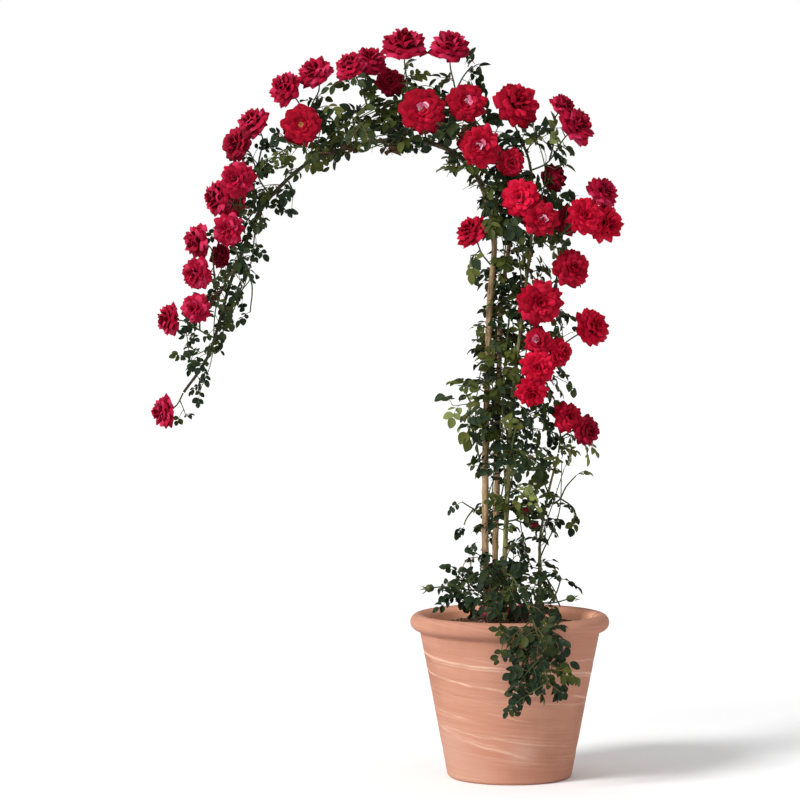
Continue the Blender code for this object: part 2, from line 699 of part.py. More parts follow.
def square_start(shape, point, direction, sides):
    """Lay the first ring of a stem flat and square, so that it meets the cane face to face."""
    shape.verts.ensure_lookup_table()
    for vert in shape.verts[:sides]:
        vert.co -= direction * (vert.co - point).dot(direction)


def build():
    clear_scene()
    terracotta = material("terracotta", (0.60, 0.31, 0.21), 0.85)
    soil = material("soil", (0.10, 0.055, 0.035), 0.95)
    bark = material("bark", (0.46, 0.32, 0.18), 0.8)
    green_bark = material("green_bark", (0.22, 0.27, 0.10), 0.6)
    foliage = material("foliage", (0.07, 0.14, 0.07), 0.6)

    pot, ground = pot_shape(), soil_shape()
    pieces = [Piece(pot, -1), Piece(ground, -1)]
    finish("pot", pot, terracotta, 35)
    finish("soil", ground, soil, 35)

    canes = {name: smooth_path(row[3]) for name, row in CANES.items()}
    limb_pieces = []
    for cane, path in canes.items():
        for name, shape in limb_shapes(cane, path):
            limb_pieces.append(Piece(shape, -1))
            look = bark if cane in ("left", "back") else green_bark
            finish(name, shape, look, 50)
    pieces += limb_pieces

    sprays = []
    points, owners = [], []
    for index, row in enumerate(SPRAYS):
        stems = stem_paths(row, canes)
        leave = seat(row, stems, canes, limb_pieces)
        shapes = [stem_tube(stem, STEM_RADIUS, STEM_TIP_RADIUS, STEM_SIDES) for stem in stems]
        square_start(shapes[0], stems[0].points[0], leave, STEM_SIDES)
        shapes += [bloom_shape(end) for end in row[3] if end[3]]
        pieces += [Piece(shape, index) for shape in shapes]
        for stem in stems:
            points += stem.points[2:]
            owners += [index] * len(stem.points[2:])
        sprays.append((row, stems, shapes))

    stem_tree = KDTree(len(points))
    for i, point in enumerate(points):
        stem_tree.insert(point, i)
    stem_tree.balance()

    for index, (row, stems, shapes) in enumerate(sprays):
        twigs, leaves = grow(row, index, stems)
        spots = list(leaves)
        for twig, its_leaves in twigs:
            if not in_own_space(twig.points[-1], index, stem_tree, owners):
                continue
            if touches(swollen(twig_tube(twig)), pieces, False, index):
                continue
            if touches(swollen(twig_tube(twig, OWN_START)), pieces, True, index):
                continue
            shape = twig_tube(twig)
            pieces.append(Piece(shape, index))
            shapes.append(shape)
            spots += its_leaves
        for spot in spots:
            tip = spot[0] + spot[1] * spot[3]
            if not in_own_space(tip, index, stem_tree, owners):
                continue
            if touches(swollen(leaf_shape(spot)), pieces, False, index):
                continue
            if touches(swollen(leaf_shape(spot, OWN_START)), pieces, True, index):
                continue
            shape = leaf_shape(spot)
            pieces.append(Piece(shape, index))
            shapes.append(shape)
        union(row[0], shapes, foliage)


build()
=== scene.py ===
"""Looks of the potted climbing rose: turned pot, soil, barked canes, leaves and blooms.

Metres, +Z up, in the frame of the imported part. The canes, the sprays, their growth rule and its
seeds are the source's; here they are carried on to shoots, compound leaves and petals.
"""
import math
import random

import bpy
import numpy as np
from mathutils import Matrix, Vector, noise


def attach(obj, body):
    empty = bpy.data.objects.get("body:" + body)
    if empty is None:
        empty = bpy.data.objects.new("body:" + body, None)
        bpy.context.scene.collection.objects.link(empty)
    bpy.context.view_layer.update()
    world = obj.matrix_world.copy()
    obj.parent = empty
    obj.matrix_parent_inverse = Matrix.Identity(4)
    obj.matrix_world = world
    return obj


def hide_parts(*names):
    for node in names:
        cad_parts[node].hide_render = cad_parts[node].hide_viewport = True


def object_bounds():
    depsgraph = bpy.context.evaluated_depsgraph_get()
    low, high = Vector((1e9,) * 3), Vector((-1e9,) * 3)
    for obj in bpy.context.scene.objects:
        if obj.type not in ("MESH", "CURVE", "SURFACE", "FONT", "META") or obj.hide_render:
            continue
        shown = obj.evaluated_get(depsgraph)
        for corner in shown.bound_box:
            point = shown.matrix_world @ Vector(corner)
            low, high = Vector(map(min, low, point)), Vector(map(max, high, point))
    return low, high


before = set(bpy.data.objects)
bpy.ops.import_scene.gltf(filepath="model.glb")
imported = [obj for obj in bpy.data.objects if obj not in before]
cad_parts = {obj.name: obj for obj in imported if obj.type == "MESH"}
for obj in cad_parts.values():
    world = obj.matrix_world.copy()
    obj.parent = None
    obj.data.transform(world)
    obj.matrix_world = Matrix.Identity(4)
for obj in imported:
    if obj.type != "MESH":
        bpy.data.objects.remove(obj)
CAD_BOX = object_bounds()

# Camera, set to the photograph's view
CAMERA_PLACE = Vector((-0.275, -8.0, 1.29))
CAMERA_TARGET = Vector((-0.275, 0.0, 0.945))
CAMERA_LENS = 144.13
SENSOR = 36.0

# Pot, as radii and heights of its turned profile
POT_HEIGHT = 0.410
BODY_TOP_RADIUS = 0.2262
FOOT_RADIUS = 0.1575
FOOT_ROUND = 0.012
ROLL_CENTRE_RADIUS = 0.2288
ROLL_RADIUS = 0.0208
ROLL_HEIGHT = POT_HEIGHT - ROLL_RADIUS
BODY_TOP = POT_HEIGHT - 2 * ROLL_RADIUS
POT_WALL = 0.021
POT_FLOOR = 0.024
POT_SIDES = 180
POT_DENT = 0.0022       # how far its round dents in, as a share of the radius
TURNING_DEPTH = 0.00028
TURNING_INSET = 0.0006
AXIS_GAP = 0.0004       # radius of the ring that closes a turned form at its axis

# Soil
SOIL_TOP = 0.382
SOIL_EDGE_DROP = 0.003
SOIL_CLEARANCE = 0.0015
SOIL_MOUND = 0.015      # how far the soil rises towards the canes
MOUND_REACH = (0.185, 0.085)    # from the middle: where it starts to rise, and its flat top
SOIL_RINGS = 26
SOIL_SIDES = 96
CHIP_COUNT = 900
GRIT_EVERY = 19         # one chip in so many is white grit
CRUMBS = ((55, 1.3, 0.5), (150, 4.1, 0.3))  # scale of the noise, its offset, its share
CRUMB_HEIGHT = 0.0045
EDGE_START, EDGE_WIDTH = 0.125, 0.075   # from the middle: where the soil drops to the wall
FALLEN = 26             # petals that lie on the soil, and their length, width, angles at foot
FALLEN_FORM = (0.036, 0.032, 80, 92, 20, 0.3, 0.2, 0.05)    # and rim, curl, cup, roll and wave
FALLEN_NAMES = ("scarlet_main", "rose_bright", "rose_main", "petal_blush")

# Canes: base radius, tip radius, flare at the foot, then the route from soil to tip
CANES = {
    "left": (0.009, 0.0035, 0.008, (
        (-0.045, -0.01, SOIL_TOP), (-0.06, -0.02, 0.515), (-0.062, -0.02, 0.745),
        (-0.058, -0.02, 0.995), (-0.051, -0.015, 1.195), (-0.041, -0.01, 1.36),
        (-0.079, -0.005, 1.495), (-0.136, 0.0, 1.558), (-0.211, 0.0, 1.588), (-0.311, 0.0, 1.592),
        (-0.411, 0.0, 1.572), (-0.501, 0.0, 1.538), (-0.586, -0.005, 1.465),
        (-0.636, -0.01, 1.395), (-0.668, -0.01, 1.315), (-0.7, -0.01, 1.232),
        (-0.739, -0.01, 1.095), (-0.765, -0.01, 1.035), (-0.815, -0.005, 0.965))),
    "back": (0.008, 0.0035, 0.007, (
        (-0.031, 0.02, SOIL_TOP), (-0.036, 0.03, 0.51), (-0.031, 0.03, 0.745),
        (-0.027, 0.03, 0.995), (-0.021, 0.03, 1.195), (0.0, 0.04, 1.36), (-0.015, 0.045, 1.52),
        (-0.074, 0.045, 1.62), (-0.174, 0.045, 1.67), (-0.274, 0.045, 1.69),
        (-0.374, 0.045, 1.67), (-0.461, 0.045, 1.625))),
    "green": (0.0065, 0.003, 0.005, (
        (-0.013, -0.03, SOIL_TOP), (-0.016, -0.04, 0.49), (-0.011, -0.045, 0.623),
        (-0.004, -0.045, 0.798), (0.004, -0.04, 0.947), (0.019, -0.03, 1.071),
        (0.034, -0.02, 1.195), (0.049, -0.01, 1.32), (0.057, 0.0, 1.432), (0.049, 0.0, 1.531),
        (0.025, 0.0, 1.6))),
    "side": (0.0045, 0.0025, 0.004, (
        (0.055, 0.0, SOIL_TOP), (0.076, 0.0, 0.48), (0.076, 0.0, 0.594), (0.096, 0.0, 0.71),
        (0.121, 0.0, 0.81))),
}

# The limbs that the source cuts each cane into, and the two canes that are old and woody
LIMBS = {"left": ("stem_left", "arch_rise", "arch_top", "arch_fall", "arch_tail"),
         "back": ("stem_back", "back_rise", "back_top"), "green": ("stem_young",),
         "side": ("stem_side",)}
WOODY = ("left", "back")
BARK_STEP = 0.008
BARK_SIDES = 16
CANE_NODE = 0.048       # from one swollen node to the next
NODE_REACH = 0.006
CANE_SINK = 0.012       # a cane's foot stands this deep in the soil

# Sprays: name, cane, share of the cane where it grows, then its ends. An end is x, y, z and,
# where it blooms, the bloom's diameter, turn from -Y towards +X and lift.
SPRAYS = (
    ("tail_end", "left", 1.0, ((-0.87, 0.0, 0.915, 0.072, -70, -5),)),
    ("tail_inner", "left", 0.945, ((-0.695, 0.04, 1.015),)),
    ("tail_outer", "left", 0.93, (
        (-0.855, -0.01, 1.145, 0.072, -75, -5), (-0.785, -0.06, 1.175, 0.074, -30, -5),
        (-0.835, -0.03, 1.07))),
    ("tail_upper", "left", 0.878, (
        (-0.785, -0.01, 1.34, 0.076, -70, 0), (-0.785, -0.05, 1.26, 0.078, -45, -5))),
    ("fall_low", "left", 0.838, (
        (-0.705, -0.07, 1.37, 0.08, -30, 0), (-0.73, 0.03, 1.305, 0.06, -50, 0))),
    ("fall_inner", "left", 0.85, ((-0.625, -0.02, 1.28), (-0.65, 0.01, 1.14))),
    ("fall_mid", "left", 0.796, (
        (-0.735, -0.01, 1.45, 0.078, -75, 10), (-0.68, -0.075, 1.495, 0.088, -20, 5))),
    ("fall_high", "left", 0.76, (
        (-0.685, -0.03, 1.585, 0.084, -50, 15), (-0.645, 0.01, 1.64, 0.08, -60, 40))),
    ("bend_front", "left", 0.703, ((-0.52, -0.09, 1.63, 0.1, -5, 5), (-0.6, -0.05, 1.54))),
    ("bend_under", "left", 0.735, ((-0.55, 0.0, 1.395),)),
    ("top_left", "back", 1.0, (
        (-0.565, -0.01, 1.725, 0.082, -60, 30), (-0.49, 0.0, 1.765, 0.085, -45, 45))),
    ("top_pair", "back", 0.93, (
        (-0.4, -0.03, 1.78, 0.075, -40, 50), (-0.35, 0.01, 1.795, 0.08, 15, 60))),
    ("top_front", "left", 0.648, ((-0.395, -0.09, 1.66), (-0.41, 0.01, 1.545))),
    ("top_crest", "back", 0.87, (
        (-0.265, 0.0, 1.835, 0.1, 0, 75), (-0.3, 0.07, 1.745, 0.075, 0, 20))),
    ("top_right", "back", 0.8, ((-0.15, -0.01, 1.83, 0.092, 10, 65), (-0.065, -0.01, 1.8))),
    ("arch_front", "left", 0.572, ((-0.22, -0.12, 1.665, 0.115, 0, 5),)),
    ("arch_under", "left", 0.6, ((-0.32, -0.01, 1.565), (-0.25, -0.05, 1.555))),
    ("rise_high", "back", 0.752, ((-0.11, -0.09, 1.685, 0.102, 5, 15),)),
    ("rise_front", "left", 0.512, (
        (-0.08, -0.11, 1.575, 0.105, -10, 0), (0.0, -0.065, 1.535, 0.072, 10, -10))),
    ("rise_under", "left", 0.54, ((-0.18, -0.02, 1.515), (-0.12, 0.02, 1.48))),
    ("shoot_top", "green", 1.0, ((0.02, -0.03, 1.685, 0.11, 35, 30),)),
    ("shoot_right", "green", 0.93, (
        (0.17, -0.02, 1.63, 0.088, 55, 30), (0.135, 0.01, 1.68, 0.062, 60, 40))),
    ("shoot_mid", "green", 0.88, ((0.115, 0.03, 1.5, 0.072, 130, 10),)),
    ("column_top", "green", 0.805, (
        (0.075, -0.11, 1.395, 0.09, 5, 0), (0.02, -0.09, 1.45, 0.095, -15, 5))),
    ("right_cluster", "green", 0.78, (
        (0.185, -0.07, 1.405, 0.09, 15, 5), (0.245, -0.02, 1.385, 0.09, 45, 0),
        (0.235, -0.01, 1.465, 0.078, 50, 30), (0.15, 0.05, 1.395, 0.08, 20, -10))),
    ("left_bloom", "left", 0.4, ((-0.1, -0.03, 1.37, 0.076, -60, 40), (-0.125, -0.05, 1.29))),
    ("right_upper", "green", 0.68, ((0.155, -0.04, 1.275, 0.092, 25, 10),)),
    ("big_bloom", "green", 0.618, ((0.07, -0.11, 1.19, 0.112, 5, 0),)),
    ("right_shoot", "green", 0.55, ((0.21, -0.02, 1.13, 0.09, 50, 20),)),
    ("column_front", "green", 0.505, (
        (0.065, -0.11, 1.03, 0.086, -5, -5), (0.125, -0.06, 1.065, 0.07, 60, 0),
        (0.065, -0.09, 1.095, 0.074, -15, 10), (0.05, -0.1, 0.965, 0.078, 0, -30))),
    ("side_top", "side", 1.0, (
        (0.145, -0.05, 0.905, 0.074, 30, 10), (0.195, -0.04, 0.87, 0.07, 50, -5))),
    ("side_mid", "side", 0.7, ((0.165, 0.0, 0.755), (0.175, 0.0, 0.645))),
    ("left_mid", "left", 0.24, ((-0.14, -0.05, 0.995), (-0.115, -0.045, 0.875))),
    ("left_high", "left", 0.33, ((-0.1, -0.06, 1.16),)),
    ("mid_front", "green", 0.35, ((0.01, -0.11, 0.875), (0.055, -0.07, 0.8))),
    ("left_low", "left", 0.125, ((-0.13, -0.05, 0.7), (-0.12, -0.03, 0.61))),
    ("buds", "green", 0.215, (
        (0.035, -0.065, 0.67, 0.034, 20, 40), (0.055, -0.055, 0.635, 0.026, 50, 10))),
    ("base_left", "left", 0.04, (
        (-0.2, -0.02, 0.475, 0.026, -70, -10), (-0.175, 0.02, 0.545), (-0.14, -0.06, 0.44))),
    ("base_front", "green", 0.075, ((-0.02, -0.12, 0.49),)),
    ("base_right", "side", 0.13, ((0.15, -0.03, 0.45, 0.024, 60, 10), (0.14, 0.01, 0.515))),
    ("trail", "green", 0.1, ((0.085, -0.29, 0.245),)),
    ("back_base", "back", 0.06, ((0.0, 0.13, 0.48),)),
    ("back_low", "back", 0.18, ((-0.06, 0.11, 0.68),)),
    ("back_mid", "back", 0.42, (
        (0.08, 0.1, 1.185, 0.085, 170, 0), (0.075, 0.105, 1.03, 0.08, 190, -5))),
    ("back_high", "back", 0.56, ((0.06, 0.115, 1.42, 0.09, 180, 0),)),
    ("back_arch", "back", 0.77, (
        (-0.21, 0.115, 1.66, 0.095, 180, 15), (-0.085, 0.12, 1.6, 0.09, 165, 5))),
    ("back_fall", "left", 0.78, ((-0.702, 0.085, 1.436, 0.072, 200, 5),)),
    ("back_bend", "back", 0.985, ((-0.53, 0.095, 1.625, 0.085, 190, 15),)),
)
SPRAYS = [(*row[:3], [(*end, 0, 0, 0)[:6] for end in row[3]]) for row in SPRAYS]
TRAIL = "trail"         # the one spray that arches over the rim and hangs
TRAIL_LEAVE = Vector((0.05, -0.80, 0.42))
TRAIL_ARRIVE = Vector((0.05, 0.05, -1.0))

# Seeds of the random draws: the source's own, then one for each kind of thing added here
SEED = 1380
BLOOM_SEED, CANE_LEAF_SEED, CANE_SEED, FINE_SEED, MORE_SEED = (
    SEED + step for step in (300, 600, 700, 900, 1100))
BARK_SEED, POT_SEED, CHIP_SEED, FALLEN_SEED = (
    SEED + step for step in (4000, 5000, 5100, 5200))

# The source's rule for stems, twigs and leaves
FLARE_HEIGHT = 0.022
STEM_STEP = 0.034
NODE_PITCH = 0.045
GOLDEN_TURN = math.radians(137.5)
TWIG_LENGTH = 0.075
TWIG_LEAVES = (0.50, 0.78)  # where a twig bears its leaves
LEAF_LENGTH = 0.096
LEAF_TAPER = 0.28       # how much smaller leaves are at the arch's tail
TAIL_REACH = 0.85
ARCH_START = 0.10
ARCH_LOW = 0.87         # the arch's tail ends above this
POT_FLATTEN = 0.3       # how much of its reach away from the pot a hanging leaf keeps
LEAF_TURN = 1.9         # from a twig's own turn to that of its first leaf
FORK_SHARE = 0.35       # where a spray's first side stem leaves it, and how far on each next
FORK_STEP = 0.16
STEM_PULL = (0.42, 0.38)    # pull of a stem's curve at its ends, as shares of its span
TWIG_PULL = (0.4, 0.3)
TWIG_SHARE = (0.55, 1.0)    # range of a twig's length
CALYX = 0.30            # a bloom's foot lies this share of its diameter behind its centre
SINK = 0.004            # a stem runs this far into its bloom
BUD_SIZE = 0.04         # ends up to this size are buds and hips
STEM_CHECKS = 40        # places along a stem where a leaf or twig on it is looked for
GROWTH_CHECKS = 20      # and along a shoot or twig
TUBE_STEP = 0.012

# A real compound leaf against the source's plain one: by x on the arch, by height below it
ARCH_LEAVES = ((-0.9, 0.72), (-0.68, 0.74), (-0.55, 0.9), (-0.1, 0.96))
UPRIGHT_LEAVES = (
    (0.25, 0.74), (0.42, 0.7), (0.52, 0.62), (0.8, 0.62), (0.95, 0.7), (1.35, 0.76), (1.5, 0.92))
HIGH_LEAVES = 1.42      # leaves above this are more slender
HIGH_SLENDER = 0.86
SEVEN_LEAFLETS = 0.35   # share of leaves with seven; of those with three, by x on the arch
THREE_LEAFLETS = ((-0.9, 0.45), (-0.55, 0.4), (-0.35, 0.1), (-0.1, 0.05))
PETIOLULE = 0.0015
LEAF_OFF_POT = 0.0016   # a leaflet keeps so far off the pot's outside,
LEAF_IN_POT = 0.001     # off its inside,
LEAF_OFF_SOIL = 0.002   # off the soil,
RIM_ROOM = 0.003        # and is checked against the pot up to here above its rim
BOX_SLACK = 0.002       # leaflets reach no further past the part's box
BLOOM_ROOM = (0.26, 0.60, 0.53)     # leafless behind, beside and, as seen, round a bloom's middle
LEAF_ROOM, LEAFLET_ROOM = 0.11, 0.10    # and this far before its face
SAME_TONE = 0.6         # share of a shoot's leaves that have its own tone
# The trailing spray's own forks: place on its stem, turn, length
TRAIL_FORKS = (
    (0.22, 1.2, 0.06), (0.32, 3.9, 0.065), (0.42, 0.4, 0.07), (0.52, 2.9, 0.07),
    (0.62, 5.0, 0.065), (0.72, 1.7, 0.06), (0.82, 4.2, 0.05), (0.44, 0.0, 0.095),
    (0.52, 0.3, 0.085), (0.6, 0.6, 0.06), (0.78, 1.5, 0.07), (0.48, -0.1, 0.135),
    (0.56, 0.1, 0.13), (0.93, 1.4, 0.085))

# Studio: sky strength near the horizon and overhead, where it changes, and the soft sun
SKY_LOW = 1.0
SKY_HIGH = 0.62
SKY_TURN = (0.10, 0.26)     # sines of the elevations between which it changes
SUN_STRENGTH = 3.15
SUN_SPREAD = 18.0           # degrees across
SUN_FROM = Vector((-0.70, -0.55, 0.58))
FLOOR_REACH = 400.0

# Finer growth than the source's: shoots beside the canes, spurs on them, leaflets on the leaves
SHOOT_EVERY = 0.13      # along the cane, as are the next two
SPUR_EVERY = 0.050
CLOTHING_EVERY = 0.013
SHOOT_LENGTH = (0.22, 0.40)
SHOOT_AWAY = (0.018, 0.050)
SHOOT_STEP = 0.022
SHOOT_PITCH = 0.034     # from one of its leaves to the next
SPUR_LENGTH = (0.030, 0.075)
SHOOT_RADIUS = (0.0021, 0.0011)
STEM_RADIUS = (0.0026, 0.0018)
TWIG_RADIUS = (0.0017, 0.0010)
TWIG_FINE_LEAF = 0.25   # where a twig bears one leaf more
FINE_PITCH = 0.026
BARE_BELOW_BLOOM = 0.055    # a flowering stem has none of these leaves so near its bloom
# Prickles: length of cane, shoot or stem for each, and their size
CANE_PRICKLES, SHOOT_PRICKLES, STEM_PRICKLES = (0.021, 0.0065), (0.04, 0.003), (0.05, 0.0035)
LEAFLET_WIDTH = 0.74
LEAFLET_SHARE = (0.35, 0.325, 0.035)     # end leaflet, first pair, less for each pair below
LOST_LEAFLETS = 0.07
RACHIS_SHARE = 0.62     # of a leaf's length
RACHIS_RADIUS = (0.00095, 0.0006)

# How full of leaves the column is: height, share kept left of the canes, share kept right
FULLNESS = (
    (0.37, 0.6, 0.75), (0.5, 0.68, 0.75), (0.58, 0.5, 0.7), (0.75, 0.5, 0.66), (0.86, 0.95, 0.85),
    (1.03, 1.0, 1.0), (1.08, 0.45, 1.0), (1.15, 0.22, 0.95), (1.34, 0.22, 0.92),
    (1.42, 0.75, 0.9), (1.9, 0.9, 0.9))
# And how full the arch is: x, share kept
ARCH_FULLNESS = (
    (-0.05, 0.76), (-0.45, 0.66), (-0.54, 0.76), (-0.66, 0.76), (-0.72, 0.34), (-0.9, 0.3))
# Leaves straight on the canes: share by x on the arch, and by height on the upright canes
CLOTHING = ((-0.1, 0.58), (-0.4, 0.5), (-0.52, 0.6), (-0.66, 0.6), (-0.72, 0.42), (-0.9, 0.3))
CLOTHING_UPRIGHT = (
    (0.38, 0.08), (0.46, 0.25), (0.6, 0.28), (0.78, 0.28), (0.82, 0.04), (1.02, 0.04),
    (1.08, 0.5), (1.34, 0.5), (1.42, 0.75))

# Outline of the foliage as the camera sees it, in the plane y = 0: x and height
OUTLINE = (
    (-0.693, 1.623), (-0.668, 1.663), (-0.619, 1.663), (-0.561, 1.693), (-0.524, 1.722),
    (-0.479, 1.737), (-0.434, 1.792), (-0.394, 1.817), (-0.325, 1.787), (-0.245, 1.797),
    (-0.195, 1.817), (-0.123, 1.809), (-0.083, 1.817), (-0.059, 1.824), (-0.049, 1.807),
    (-0.078, 1.777), (-0.091, 1.732), (-0.011, 1.727), (0.009, 1.653), (0.061, 1.633),
    (0.136, 1.633), (0.159, 1.568), (0.149, 1.524), (0.169, 1.479), (0.224, 1.432),
    (0.229, 1.349), (0.159, 1.315), (0.204, 1.285), (0.164, 1.195), (0.194, 1.15), (0.155, 1.083),
    (0.13, 1.045), (0.14, 0.965), (0.17, 0.94), (0.188, 0.865), (0.233, 0.83), (0.216, 0.75),
    (0.171, 0.694), (0.186, 0.624), (0.156, 0.564), (0.201, 0.493), (0.231, 0.433),
    (0.156, 0.388), (0.176, 0.363), (0.15, 0.3), (0.172, 0.262), (0.166, 0.222), (0.116, 0.21),
    (0.086, 0.18), (0.059, 0.198), (0.036, 0.18), (0.021, 0.152), (-0.004, 0.158), (-0.01, 0.205),
    (-0.033, 0.25), (-0.034, 0.287), (-0.014, 0.298), (-0.02, 0.32), (-0.042, 0.334),
    (-0.078, 0.338), (-0.114, 0.35), (-0.12, 0.388), (-0.15, 0.428), (-0.205, 0.438),
    (-0.235, 0.468), (-0.225, 0.544), (-0.195, 0.544), (-0.155, 0.514), (-0.12, 0.539),
    (-0.12, 0.564), (-0.165, 0.584), (-0.16, 0.614), (-0.1, 0.629), (-0.105, 0.659),
    (-0.16, 0.664), (-0.175, 0.699), (-0.16, 0.725), (-0.11, 0.73), (-0.1, 0.75), (-0.095, 0.78),
    (-0.135, 0.83), (-0.15, 0.865), (-0.15, 0.9), (-0.16, 0.935), (-0.153, 0.975), (-0.135, 1.02),
    (-0.11, 1.05), (-0.095, 1.083), (-0.105, 1.12), (-0.09, 1.165), (-0.09, 1.235),
    (-0.12, 1.247), (-0.118, 1.3), (-0.084, 1.32), (-0.066, 1.374), (-0.053, 1.43),
    (-0.091, 1.485), (-0.116, 1.522), (-0.141, 1.522), (-0.16, 1.535), (-0.176, 1.585),
    (-0.216, 1.574), (-0.266, 1.59), (-0.291, 1.574), (-0.341, 1.582), (-0.372, 1.562),
    (-0.391, 1.57), (-0.416, 1.552), (-0.441, 1.525), (-0.466, 1.52), (-0.491, 1.49),
    (-0.529, 1.495), (-0.544, 1.454), (-0.544, 1.399), (-0.564, 1.389), (-0.579, 1.389),
    (-0.594, 1.354), (-0.609, 1.33), (-0.617, 1.285), (-0.649, 1.22), (-0.645, 1.15),
    (-0.66, 1.115), (-0.68, 1.075), (-0.707, 1.035), (-0.74, 0.955), (-0.76, 0.905),
    (-0.825, 0.885), (-0.88, 0.935), (-0.88, 0.98), (-0.835, 1.07), (-0.814, 1.195),
    (-0.774, 1.345), (-0.734, 1.444), (-0.704, 1.544))
OUTLINE_SOFT = 0.020    # a leaflet stands no further than this outside it
OUTLINE_STRAY = 0.35    # share of leaves that may stand so far out
TWIG_STRAY = 0.004      # the other leaves and the twigs' stems stand no further out than this

# Places where the canes or the sky show between the leaves: x, height, radius, share kept
OPEN_PLACES = (
    (-0.1, 1.33, 0.028, 0.7), (-0.1, 1.2, 0.028, 0.4), (0.06, 1.29, 0.036, 0.6),
    (0.095, 1.235, 0.045, 0.55), (-0.44, 1.695, 0.024, 0.4), (-0.42, 1.66, 0.024, 0.5),
    (-0.458, 1.64, 0.022, 0.55), (-0.38, 1.7, 0.024, 0.6), (-0.34, 1.665, 0.024, 0.35),
    (-0.3, 1.72, 0.028, 0.4), (-0.52, 1.59, 0.02, 0.5), (-0.33, 1.62, 0.02, 0.45),
    (-0.25, 1.64, 0.022, 0.5), (-0.575, 1.52, 0.014, 0.35), (-0.14, 1.765, 0.027, 0.35),
    (0.045, 1.62, 0.028, 0.45), (-0.205, 0.5, 0.06, 0.22), (-0.152, 0.545, 0.038, 0.25),
    (-0.135, 0.398, 0.038, 0.1), (0.15, 0.43, 0.035, 0.45), (-0.018, 0.4, 0.022, 0.12),
    (0.024, 0.401, 0.024, 0.12), (0.15, 0.74, 0.04, 0.5), (0.16, 0.64, 0.045, 0.45),
    (0.17, 0.56, 0.06, 0.35), (0.115, 0.58, 0.03, 0.55), (-0.12, 0.72, 0.045, 0.3),
    (-0.135, 0.615, 0.036, 0.3), (-0.1, 0.66, 0.025, 0.5), (-0.495, 1.515, 0.028, 0.5),
    (-0.545, 1.46, 0.028, 0.38), (-0.583, 1.392, 0.032, 0.4), (-0.638, 1.29, 0.027, 0.35),
    (-0.636, 1.222, 0.028, 0.3), (-0.692, 1.112, 0.026, 0.3), (-0.745, 1.01, 0.028, 0.4),
    (-0.835, 1.015, 0.036, 0.45), (-0.799, 1.115, 0.022, 0.5), (-0.16, 1.565, 0.03, 0.5),
    (-0.125, 1.512, 0.028, 0.5), (-0.095, 1.415, 0.026, 0.45), (-0.103, 1.062, 0.024, 0.4),
    (-0.15, 0.87, 0.03, 0.35), (-0.098, 0.82, 0.034, 0.2), (-0.1, 0.765, 0.022, 0.5),
    (0.05, 0.565, 0.025, 0.4), (-0.15, 0.465, 0.025, 0.5), (-0.395, 1.615, 0.022, 0.5),
    (0.065, 1.56, 0.03, 0.5), (0.105, 0.735, 0.026, 0.5), (0.055, 0.615, 0.022, 0.5))
# The same, for leaves in front of a cane
CANE_PLACES = (
    (-0.05, 1.33, 0.024, 0.15), (-0.052, 1.29, 0.024, 0.15), (-0.054, 1.25, 0.024, 0.2),
    (-0.056, 1.21, 0.024, 0.2), (-0.057, 1.17, 0.024, 0.3), (-0.058, 1.13, 0.022, 0.5),
    (-0.062, 0.8, 0.022, 0.6), (-0.063, 0.75, 0.022, 0.35), (-0.063, 0.71, 0.022, 0.3),
    (-0.063, 0.67, 0.022, 0.3), (-0.063, 0.63, 0.022, 0.35), (-0.062, 0.59, 0.022, 0.4),
    (-0.06, 0.55, 0.022, 0.55), (-0.028, 0.72, 0.02, 0.45), (-0.029, 0.67, 0.02, 0.45),
    (-0.03, 0.62, 0.02, 0.5), (-0.03, 0.57, 0.02, 0.55))
CANE_FRONT = 0.020      # y in front of which leaves hide the canes

# Leafy twigs where the photograph is fuller: cane, share of it, tip
MORE_TWIGS = (
    ("green", 0.27, (0.062, -0.02, 0.725)), ("green", 0.285, (0.045, -0.09, 0.7)),
    ("green", 0.13, (0.004, -0.08, 0.588)), ("green", 0.1, (0.014, 0.015, 0.552)),
    ("left", 0.075, (-0.1, -0.04, 0.566)), ("left", 0.055, (-0.092, -0.055, 0.512)),
    ("green", 0.405, (0.078, -0.03, 0.925)), ("green", 0.4, (0.09, -0.055, 0.872)),
    ("green", 0.365, (0.07, -0.02, 0.828)), ("green", 0.43, (0.06, 0.02, 0.905)),
    ("green", 0.72, (0.118, -0.01, 1.272)), ("green", 0.97, (0.108, -0.03, 1.615)),
    ("back", 0.985, (-0.452, 0.0, 1.672)), ("left", 0.405, (-0.08, -0.045, 1.325)),
    ("left", 0.55, (-0.174, -0.05, 1.545)), ("left", 0.59, (-0.244, -0.05, 1.567)),
    ("left", 0.522, (-0.119, -0.055, 1.512)), ("left", 0.49, (-0.068, -0.055, 1.462)),
    ("left", 0.63, (-0.318, -0.045, 1.574)), ("left", 0.46, (-0.052, -0.05, 1.405)),
    ("left", 0.985, (-0.86, -0.02, 0.986)), ("left", 0.97, (-0.738, -0.02, 0.97)),
    ("left", 0.94, (-0.842, -0.025, 1.045)))
MORE_LEAVES = (0.30, 0.50, 0.68, 0.84)
FORK_LEAVES = (0.25, 0.45, 0.65, 0.85)
OPEN_SHOOT = 0.35       # a shoot with more of its length than this in open places is left out

# Places with paler leaves: x, height, radius
PALE_LEAF_PLACES = (
    (0.16, 0.78, 0.055), (-0.115, 0.905, 0.055), (0.085, 1.265, 0.03), (0.12, 1.63, 0.035),
    (-0.01, 0.9, 0.035))

